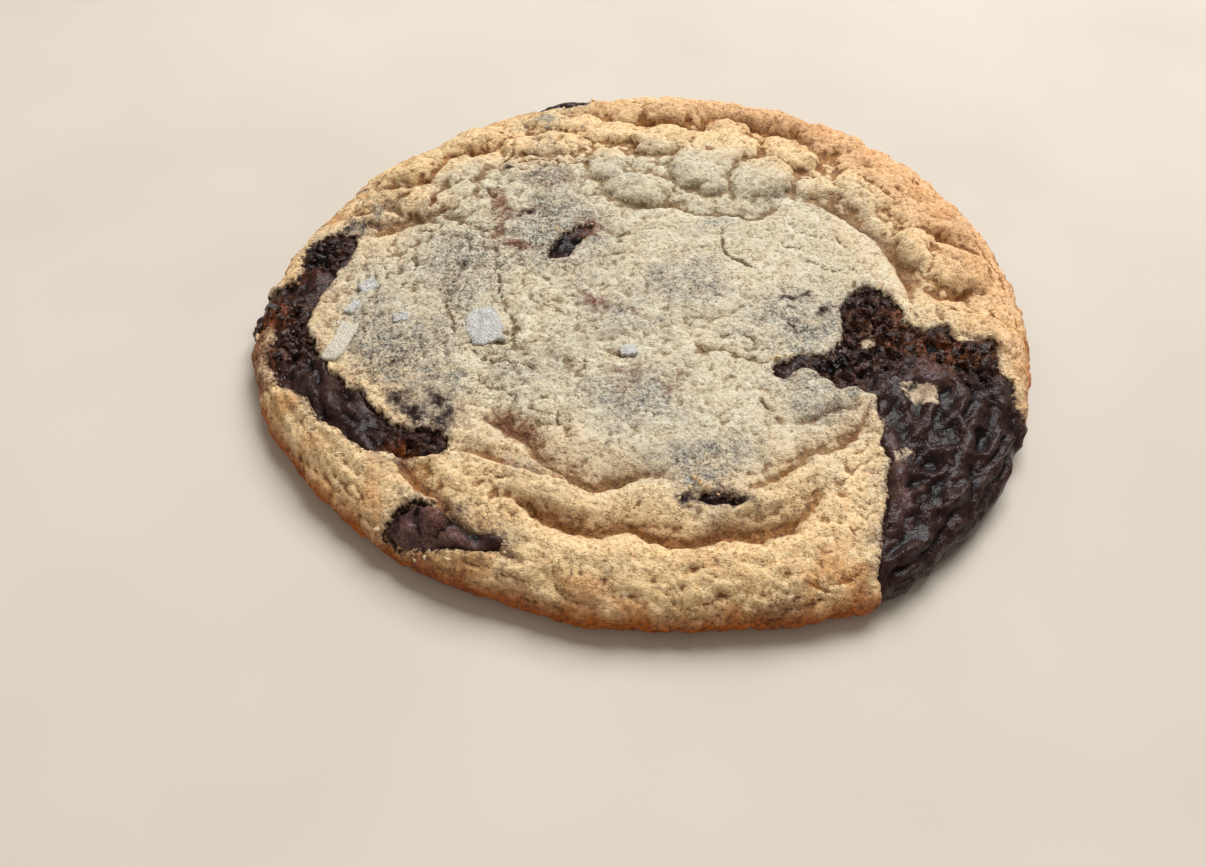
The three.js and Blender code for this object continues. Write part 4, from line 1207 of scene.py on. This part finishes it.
def facets(tree, size):
    """Heights of flat little faces, each tilted its own way, in metres."""
    chip = crumb_cells(tree, size)
    way = with_vectors(tree, "SUBTRACT", own_space(tree), chip.outputs["Position"])
    lean = with_vectors(tree, "SUBTRACT", chip.outputs["Color"], (0.5, 0.5, 0.5))
    return with_vectors(tree, "DOT_PRODUCT", way.outputs["Vector"], lean.outputs["Vector"]).outputs["Value"]


def bumps(tree, shader, layers):
    """Bump layers, each a height mask with a depth in millimetres, stacked on one another."""
    normal = None
    for height, depth in layers:
        node = add(tree, "ShaderNodeBump", Height=height, Distance=depth * MM, Strength=1.0)
        if normal:
            tree.links.new(normal, node.inputs["Normal"])
        normal = node.outputs["Normal"]
    tree.links.new(normal, shader.inputs["Normal"])


# %% [markdown]
# ## Baked dough
#
# The crust is butter, sugar and flour. Sugar browns where it is hot and dry: on ridges, on the ring
# and most of all low on the rim. The crumb between is pale. Every tone is broken up by grain,
# because a baked crust never has one even colour over more than a millimetre. The layers go from
# what the oven did and painted shade in folds and hollows, through torn places painted dark as shade
# and chocolate seen through the dough, to stains and smears.

# %% Grains of the dough, what the oven did, and painted shade in folds and hollows
DOUGH_GRAINS = {  # size in mm, detail, and where on the noise the mask starts and is full
    "coarse": (3.2, 3), "mottle": (1.9, 3, 0.36, 0.64), "crumb": (0.7, 4, 0.3, 0.7),
    "specks": (0.5, 3, 0.6, 0.7), "dots": (0.42, 3, 0.42, 0.6), "grit": (0.3, 2, 0.38, 0.62),
    "flecks": (0.4, 2, 0.57, 0.64),
}


def oven_layers(tree, grains):
    """From golden to brown, then painted shade that darkens the creases and hollows."""
    crumb = grains["crumb"]
    # painted shade for the hollows: greyish in the pale middle, amber on the golden ring
    shade = over(tree, (192, 138, 80), (114, 72, 38), crumb)
    hollow_shade = over(tree, (150, 126, 92), shade, field(tree, "golden"))
    # painted shade along the folds
    crease_shade = over(tree, (190, 142, 90), (100, 64, 34), patches(tree, crumb, grains["grit"]))
    return [
        (over(tree, (252, 228, 182), (236, 192, 134), crumb), field(tree, "golden")),
        (over(tree, (248, 206, 160), (226, 166, 112), crumb), field(tree, "apricot")),
        ((222, 174, 108), times(tree, grains["coarse"], 0.2)),
        (over(tree, (226, 158, 82), (184, 112, 46), crumb), field(tree, "toasted")),
        (over(tree, (200, 108, 24), (126, 56, 5), crumb), field(tree, "baked")),
        (crease_shade, field(tree, "crease")),
        (hollow_shade, torn_edge(tree, field(tree, "hollow"), crumb, 0.25, 0.57, 0.92)),
    ]


# %% Torn places painted dark as shade, and chocolate seen through the dough
def torn_layers(tree, grains, lines):
    """Pits, dents and cracks painted dark as shade, the grey film of chocolate under thin dough, and dark
    flecks.
    """
    crumb, dots = grains["crumb"], grains["dots"]
    # painted shade in pits, dents and cracks
    torn = over(tree, (92, 72, 52), (150, 92, 42), field(tree, "golden"))
    speckled = over(tree, (190, 187, 174), (104, 98, 90), dots)
    broken = spread(tree, patches(tree, crumb, grains["mottle"]), 0.2, 0.75, (0.25, 1.0))
    crack_mask = torn_edge(tree, field(tree, "crack"), grains["grit"], 0.4, 0.3, 0.75)
    return [
        (torn, times(tree, field(tree, "pitted"), 0.6)),
        (torn, times(tree, combine(tree, "MAXIMUM", grains["specks"], lines), 0.3)),
        (speckled, times(tree, field(tree, "film"), broken)),
        ((74, 60, 50), times(tree, grains["flecks"], 0.7)),
        (torn, times(tree, crack_mask, 0.85)),
    ]


# %% Stains and smears of chocolate
def stain_layers(tree, grains):
    """Each kind is a soft halo, and the smears and the shores have a dark core on it."""
    crumb, dots, grit = grains["crumb"], grains["dots"], grains["grit"]
    rust, smear, by_shore = (field(tree, name) for name in ("rust", "cocoa", "by_shore"))
    rust_mask = torn_edge(tree, rust, crumb, 0.6, 0.06, 0.75)
    smear_mask = torn_edge(tree, smear, crumb, 0.5, 0.05, 0.65)
    shore_mask = torn_edge(tree, by_shore, crumb, 0.6, 0.45, 1.0)
    rusty = over(tree, (150, 98, 70), (88, 48, 34), patches(tree, grit, crumb))
    smeared = over(tree, (132, 114, 102), (66, 50, 44), patches(tree, grit, dots))
    return [
        (rusty, times(tree, rust_mask, kept_between(tree, dots, 0.65, 1.0))),
        (smeared, times(tree, smear_mask, 0.85)),
        ((34, 18, 14), torn_edge(tree, smear, crumb, 0.6, 0.5, 0.95)),
        (over(tree, (150, 118, 92), (92, 64, 50), dots), times(tree, shore_mask, 0.6)),
        ((44, 24, 17), torn_edge(tree, by_shore, crumb, 0.45, 0.86, 1.0)),
    ]


# %% Finish of the dough
def baked_dough_finish():
    material, tree, shader = start_finish("baked_dough")
    grains = {name: grain(tree, *numbers) for name, numbers in DOUGH_GRAINS.items()}
    grains["flecks"] = times(tree, grains["flecks"], field(tree, "flecked"))
    lines = broken_lines(tree, 1.5, 0.025, 0.5, 0.62)
    crumb, grit = grains["crumb"], grains["grit"]
    pale = over(tree, (232, 224, 202), (204, 192, 160), patches(tree, crumb, grains["mottle"]))
    below = over(tree, (196, 140, 82), (150, 92, 44), grains["coarse"])
    layers = oven_layers(tree, grains) + torn_layers(tree, grains, lines) + stain_layers(tree, grains)
    tone = painted(tree, pale, layers + [(below, field(tree, "underside"))])
    tree.links.new(tone, shader.inputs["Base Color"])
    tree.links.new(kept_between(tree, crumb, 0.7, 0.95), shader.inputs["Roughness"])
    shader.inputs["Specular IOR Level"].default_value = 0.25
    shader.inputs["Subsurface Weight"].default_value = 0.1
    shader.inputs["Subsurface Radius"].default_value = (1.0, 0.5, 0.2)
    shader.inputs["Subsurface Scale"].default_value = 1.0 * MM
    open_texture = [crumb, grains["specks"], grains["flecks"], lines]
    bumps(tree, shader, [(mask, -0.14) for mask in open_texture] + [(grit, -0.05)])
    print("the finish of the dough has", len(layers) + 1, "layers and", len(tree.nodes), "nodes")
    return material


# %% [markdown]
# ## Melted chocolate
#
# Dark chocolate that has melted and set again has a dull sheen. Its high places are a lighter
# brown, and its hollows are painted near-black as shade. Where it is crumbly, bits of browned dough
# are mixed in, and small facets break up the light. Caramel, dust and flour lie on it in places that
# are drawn one by one.

# %% Finish of the chocolate
def chocolate_layers(tree, fine, grit, crumbly, hollow):
    raised = spread(tree, hollow, 0.45, 0.1, (0.0, 0.6))
    chosen = spread(tree, own_value(tree, crumb_cells(tree, 1.0)), 0.5, 0.8)
    caramel_mask = times(tree, field(tree, "caramel"), kept_between(tree, fine, 0.4, 1.0))
    dusty_mask = times(tree, field(tree, "dusty"), kept_between(tree, fine, 0.45, 0.95))
    return [
        ((78, 54, 48), times(tree, raised, fine)),
        (over(tree, (128, 90, 68), (62, 34, 26), grit), times(tree, times(tree, chosen, crumbly), 0.65)),
        (over(tree, (176, 94, 34), (92, 40, 16), grit), caramel_mask),
        (over(tree, (140, 104, 98), (82, 54, 52), grit), dusty_mask),
        (over(tree, (214, 194, 164), (172, 146, 122), grit),
         torn_edge(tree, field(tree, "floury"), fine, 0.35, 0.42, 0.6)),
        # painted shade: near-black in the drawn crevices
        ((14, 7, 6), torn_edge(tree, field(tree, "dark"), fine, 0.5, 0.35, 0.95)),
        # painted shade: near-black in every hollow
        ((12, 6, 5), spread(tree, hollow, 0.62, 1.0)),
    ]


def melted_chocolate_finish():
    material, tree, shader = start_finish("melted_chocolate")
    broad, fine, grit = grain(tree, 4.0, 3), grain(tree, 0.9, 3), grain(tree, 0.35, 2, 0.35, 0.65)
    crumbly, hollow = field(tree, "crumbly"), field(tree, "hollow")
    dark = over(tree, (44, 24, 19), (28, 14, 11), broad)
    tone = painted(tree, dark, chocolate_layers(tree, fine, grit, crumbly, hollow))
    tree.links.new(tone, shader.inputs["Base Color"])
    shine = combine(tree, "MAXIMUM", field(tree, "floury"), kept_between(tree, fine, 0.18, 0.32))
    tree.links.new(shine, shader.inputs["Roughness"])
    shader.inputs["Specular IOR Level"].default_value = 0.17
    chips = times(tree, facets(tree, 0.9), kept_between(tree, crumbly, 0.12, 1.0))
    wrinkles = times(tree, fine, kept_between(tree, crumbly, 0.35, 1.0))
    bumps(tree, shader, [(chips, 1400), (wrinkles, 0.18), (grit, 0.025)])
    print("the finish of the chocolate has", len(tree.nodes), "nodes")
    return material


# %% [markdown]
# ## Salt
#
# Flaky salt grows as thin hollow plates. They lie a little tilted and half sunk, and look greyish
# because the dough shows through them. A plate could be a cut cube, but two ragged grids with a
# bevelled edge between them also give the steps in which salt grows.

# %% Finish of the salt
def flaky_salt_finish():
    material, tree, shader = start_finish("flaky_salt")
    cloudy, streaks = grain(tree, 0.9, 4), grain(tree, 0.25, 3, 0.4, 0.6)
    tone = painted(tree, over(tree, (206, 205, 200), (138, 135, 127), cloudy), [
        ((252, 252, 252), times(tree, streaks, 0.7)),
        (over(tree, (246, 238, 218), (208, 196, 168), streaks), field(tree, "creamy")),
    ])
    tree.links.new(tone, shader.inputs["Base Color"])
    tree.links.new(kept_between(tree, cloudy, 0.3, 0.6), shader.inputs["Roughness"])
    shader.inputs["Subsurface Weight"].default_value = 0.2
    shader.inputs["Subsurface Scale"].default_value = 0.6 * MM
    bumps(tree, shader, [(cloudy, 0.12), (streaks, 0.1)])
    return material


# %% Shapes of the salt flakes
SALT_FLAKES = [  # x, y, length, width, turn in degrees, tilt in degrees
    (-25.3, -10.6, 7.2, 5.2, -74, 5), (-46.4, -13.4, 7.6, 2.9, 76, -7), (-44, -1.8, 3.0, 2.4, 35, 9),
    (-45.6, -6.4, 3.2, 1.6, 62, -8), (-38, -9, 2.2, 1.6, 15, 8), (-3.8, -15.2, 2.5, 2.1, 10, -8),
]
FLAKE_THICKNESS, FLAKE_PROUD = 0.9, -0.1
FLAKE_GRID = 18


def flake_faces():
    """Triangles of two square grids, one over the other, and of the wall between their edges."""
    m = FLAKE_GRID * FLAKE_GRID
    i = np.arange(m).reshape(FLAKE_GRID, FLAKE_GRID)
    a, b, c, d = (part.ravel() for part in (i[:-1, :-1], i[:-1, 1:], i[1:, 1:], i[1:, :-1]))
    upper = np.vstack([np.column_stack([a, b, c]), np.column_stack([a, c, d])])
    round_it = np.concatenate([i[0, :-1], i[:-1, -1], i[-1, :0:-1], i[:0:-1, 0]])
    after = np.roll(round_it, -1)
    wall = np.vstack([np.column_stack([after, round_it, round_it + m]),
                      np.column_stack([after, round_it + m, after + m])])
    return np.vstack([upper, upper[:, ::-1] + m, wall])


def salt_flake(x, y, length, width, turn, tilt):
    """A plate from two grids, its outline ragged, its upper edge bevelled and its top in steps."""
    u, v = np.meshgrid(np.linspace(-1, 1, FLAKE_GRID), np.linspace(-1, 1, FLAKE_GRID))
    u, v = u.ravel(), v.ravel()
    reach = np.maximum(np.abs(u), np.abs(v))
    rag = smooth_noise(1.7 * u + x, 1.7 * v + y, 120)
    rag = rag + 0.6 * smooth_noise(4.5 * u + x, 4.5 * v + y, 121)
    corner = 1 - 0.05 * smoothstep(np.abs(u * v), 0.6, 1) + 0.11 * rag * reach
    steps = 0.14 * np.round(1.4 * smooth_noise(1.3 * u + y, 1.3 * v + x, 122)) * (reach < 0.85)
    rough_top = 0.07 * smooth_noise(6 * u, 6 * v + x, 123) * (reach < 0.95)
    top = np.column_stack([u * corner * length / 2, v * corner * width / 2,
                           FLAKE_THICKNESS / 2 * (1 - 0.35 * reach**14) + steps + rough_top])
    bottom = np.column_stack([0.97 * top[:, :2], np.full(len(u), -FLAKE_THICKNESS / 2)])
    points = np.vstack([top, bottom])
    c, s = math.cos(math.radians(tilt)), math.sin(math.radians(tilt))
    points = points @ np.array([[1, 0, 0], [0, c, -s], [0, s, c]]).T
    c, s = math.cos(math.radians(turn)), math.sin(math.radians(turn))
    points = points @ np.array([[c, -s, 0], [s, c, 0], [0, 0, 1]]).T
    ground = dough_top(np.array([[x, y]], float))[0]
    return points + [x, y, ground + FLAKE_PROUD], flake_faces()


def joined(parts):
    """Several closed shapes as one list of points and one of triangles."""
    starts = np.cumsum([0] + [len(points) for points, _ in parts[:-1]])
    return (np.vstack([points for points, _ in parts]),
            np.vstack([faces + start for start, (_, faces) in zip(starts, parts)]))


# %% The salt flakes
CREAMY_FLAKE = 1  # the long one, because dough shows through it

salt_points, salt_faces = joined([salt_flake(*flake) for flake in SALT_FLAKES])
which_flake = np.repeat(np.arange(len(SALT_FLAKES)), 2 * FLAKE_GRID * FLAKE_GRID)
salt = mesh_object("salt_flakes", salt_points, salt_faces,
                   {"creamy": np.where(which_flake == CREAMY_FLAKE, 0.85, 0.15)})
salt.data.materials.append(flaky_salt_finish())
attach(salt, "root")
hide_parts("dough")

# %% Laying the finishes on
dough.data.materials.append(baked_dough_finish())
chocolate_finish = melted_chocolate_finish()
for pool in pools:
    pool.data.materials.append(chocolate_finish)
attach(dough, "root")
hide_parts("dough")

# %% [markdown]
# ## Loose crumbs
#
# Broken chocolate leaves shards on the rough parts of the pools, dough sheds pale crumbs beside
# them, and small grains of salt lie about the middle. Placing hundreds by hand is hopeless, so
# Geometry Nodes scatter them: points on the faces, as dense as an attribute says, and on each point
# one of three angular chips with its own turn and size.

# %% The tree that scatters chips
CHIP_SHAPES = 3
SCATTER_INPUTS = {"Geometry": "Geometry", "Mask": "String", "Per Square Metre": "Float",
                  "Smallest": "Float", "Largest": "Float", "Seed": "Int", "Finish": "Material"}


def random_value(tree, low, high, seed, kind="FLOAT_VECTOR"):
    """A random value or vector for each point or vertex, from a fixed seed."""
    node = tree.nodes.new("FunctionNodeRandomValue")
    node.data_type = kind
    live = [socket for socket in node.inputs if socket.enabled]
    for socket, value in zip(live, (low, high)):
        socket.default_value = value
    live[-1].default_value = seed
    return next(socket for socket in node.outputs if socket.enabled)


def chip_scatter():
    """A tree that covers a mesh with loose chips, and returns the chips alone."""
    tree = bpy.data.node_groups.new("chip scatter", "GeometryNodeTree")
    for name, kind in SCATTER_INPUTS.items():
        tree.interface.new_socket(name, in_out="INPUT", socket_type="NodeSocket" + kind)
    tree.interface.new_socket("Chips", in_out="OUTPUT", socket_type="NodeSocketGeometry")
    given, result = tree.nodes.new("NodeGroupInput"), tree.nodes.new("NodeGroupOutput")

    mask = add(tree, "GeometryNodeInputNamedAttribute", {"data_type": "FLOAT"},
               Name=given.outputs["Mask"])
    density = times(tree, mask.outputs["Attribute"], given.outputs["Per Square Metre"])
    points = add(tree, "GeometryNodeDistributePointsOnFaces", Mesh=given.outputs["Geometry"],
                 Density=density, Seed=given.outputs["Seed"])

    chips = tree.nodes.new("GeometryNodeJoinGeometry")
    for number in range(CHIP_SHAPES):
        ball = add(tree, "GeometryNodeMeshIcoSphere", Radius=0.5, Subdivisions=1)
        dents = random_value(tree, (-0.2, -0.2, -0.2), (0.2, 0.2, 0.2), 10 + number)
        chip = add(tree, "GeometryNodeSetPosition", Geometry=ball.outputs["Mesh"], Offset=dents)
        alone = add(tree, "GeometryNodeGeometryToInstance", Geometry=chip.outputs["Geometry"])
        tree.links.new(alone.outputs[0], chips.inputs[0])

    spread_of_sizes = random_value(tree, 0.0, 1.0, 31, "FLOAT")
    mostly_small = combine(tree, "POWER", spread_of_sizes, 2.5)
    size = add(tree, "ShaderNodeMapRange", Value=mostly_small, To_Min=given.outputs["Smallest"],
               To_Max=given.outputs["Largest"])
    squash = random_value(tree, (0.6, 0.5, 0.5), (1.4, 1.0, 0.9), 33)
    scale = add(tree, "ShaderNodeVectorMath", {"operation": "SCALE"}, Vector=squash)
    tree.links.new(size.outputs["Result"], scale.inputs["Scale"])
    turn = random_value(tree, (0.0, 0.0, 0.0), (math.tau, math.tau, math.tau), 35)
    placed = add(tree, "GeometryNodeInstanceOnPoints", Points=points.outputs["Points"],
                 Instance=chips.outputs[0], Pick_Instance=True, Rotation=turn,
                 Scale=scale.outputs["Vector"])
    whole = add(tree, "GeometryNodeRealizeInstances", Geometry=placed.outputs["Instances"])
    finished = add(tree, "GeometryNodeSetMaterial", Geometry=whole.outputs[0],
                   Material=given.outputs["Finish"])
    tree.links.new(finished.outputs[0], result.inputs[0])
    return tree


scatter_tree = chip_scatter()
print("the scatter tree has", len(scatter_tree.nodes), "nodes")


# %% Scattering one kind of crumb
def scattered(name, ground, slot, **inputs):
    """Chips over a ground mesh as a plain mesh piece of their own. The ground is left as it was."""
    carrier = bpy.data.objects.new(name, ground)
    bpy.context.scene.collection.objects.link(carrier)
    modifier = carrier.modifiers.new("scatter", "NODES")
    modifier.node_group = scatter_tree
    for item in scatter_tree.interface.items_tree:
        if item.name in inputs:
            modifier[item.identifier] = inputs[item.name]
    evaluated = carrier.evaluated_get(bpy.context.evaluated_depsgraph_get())
    mesh = bpy.data.meshes.new_from_object(evaluated)
    bpy.data.objects.remove(carrier)
    piece = bpy.data.objects.new(name, mesh)
    bpy.context.scene.collection.objects.link(piece)
    mesh.name = name
    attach(piece, "root")
    print(name, "has", len(mesh.polygons), "faces")


def crumb_finish(name, bright, dark, roughness, gloss):
    """Each crumb has a tone of its own, with grain on it."""
    material, tree, shader = start_finish(name)
    own_tone = over(tree, bright, dark, own_value(tree, crumb_cells(tree, 1.2)))
    grit = grain(tree, 0.3, 2, 0.35, 0.65)
    tone = over(tree, own_tone, dark, times(tree, grit, 0.5))
    tree.links.new(tone, shader.inputs["Base Color"])
    tree.links.new(kept_between(tree, grit, roughness, roughness + 0.2), shader.inputs["Roughness"])
    shader.inputs["Specular IOR Level"].default_value = gloss
    bumps(tree, shader, [(grit, 0.08)])
    return material


def ground_mesh(pieces, mask):
    """The faces of some pieces as one mesh that carries their mask."""
    parts, values = [], []
    for piece in pieces:
        parts.append(points_and_triangles(piece.data))
        values.append(np.array([item.value for item in piece.data.attributes[mask].data]))
    carrier = mesh_object("ground", *joined(parts), {mask: np.concatenate(values)})
    mesh = carrier.data
    bpy.data.objects.remove(carrier)
    return mesh


# %% The three kinds of crumb
CRUMBS = {  # mask, number per square metre, smallest and largest in mm, seed
    "chocolate_crumbs": ("loose", 6.5e5, 0.4, 2.3, 4),
    "dough_crumbs": ("shed", 2.2e5, 0.4, 1.5, 7),
    "salt_grains": ("salted", 1.0e5, 0.25, 0.9, 9),
}
CRUMB_FINISHES = {  # bright and dark tone, roughness, gloss
    "chocolate_crumbs": ((92, 60, 48), (26, 13, 10), 0.22, 0.5),
    "dough_crumbs": ((240, 222, 188), (212, 178, 132), 0.7, 0.25),
    "salt_grains": ((232, 231, 228), (196, 194, 190), 0.3, 0.5),
}

for name, (mask, number, smallest, largest, seed) in CRUMBS.items():
    on_chocolate = name.startswith("chocolate")
    ground = ground_mesh(pools[:2], mask) if on_chocolate else dough.data
    settings = {"Mask": mask, "Per Square Metre": number, "Smallest": smallest * MM,
                "Largest": largest * MM, "Seed": seed}
    scattered(name, ground, "chocolate" if on_chocolate else "dough",
              Finish=crumb_finish(name[:-1], *CRUMB_FINISHES[name]), **settings)

# %% [markdown]
# ## Light, and a plane to lie on
#
# The cookie lies by a window: a large soft light from behind and a little from the right, with the
# bright room as fill. A hard lamp would show more relief, but it would blacken the folds. The pale
# plane throws some light back on the rim.

# %% Plane
TABLE_HALF = 1.5
table_mesh = bpy.data.meshes.new("table")
corners = [(-TABLE_HALF, -TABLE_HALF, 0), (TABLE_HALF, -TABLE_HALF, 0), (TABLE_HALF, TABLE_HALF, 0),
           (-TABLE_HALF, TABLE_HALF, 0)]
table_mesh.from_pydata(corners, [], [(0, 1, 2, 3)])
table = bpy.data.objects.new("table", table_mesh)
bpy.context.scene.collection.objects.link(table)
table_finish, table_tree, table_shader = start_finish("pale_table")
table_tone = over(table_tree, (208, 200, 188), (202, 193, 180), grain(table_tree, 60, 2))
table_tree.links.new(table_tone, table_shader.inputs["Base Color"])
table_shader.inputs["Roughness"].default_value = 0.9
table.data.materials.append(table_finish)
print("the plane measures", 2 * TABLE_HALF, "m")


# %% Window and room
def soft_light(name, place, aim, size, watts, tint):
    light = bpy.data.objects.new(name, bpy.data.lights.new(name, "AREA"))
    light.data.shape, light.data.size = "SQUARE", size
    light.data.energy, light.data.color = watts, tint
    turn = (Vector(aim) - Vector(place)).to_track_quat("-Z", "Y")
    light.matrix_world = Matrix.Translation(place) @ turn.to_matrix().to_4x4()
    bpy.context.scene.collection.objects.link(light)


soft_light("window", (0.26, 0.6, 0.9), (0, 0, 0), 0.7, 16.6, (0.97, 0.985, 1.0))
soft_light("wall", (-0.3, -0.6, 0.6), (0, 0, 0), 0.8, 0.6, (1.0, 0.9, 0.78))
room = bpy.data.worlds.new("room")
room.use_nodes = True
room.node_tree.nodes["Background"].inputs["Color"].default_value = (1.0, 0.91, 0.8, 1)
room.node_tree.nodes["Background"].inputs["Strength"].default_value = 0.3
bpy.context.scene.world = room
bpy.context.scene.view_settings.view_transform = "Standard"
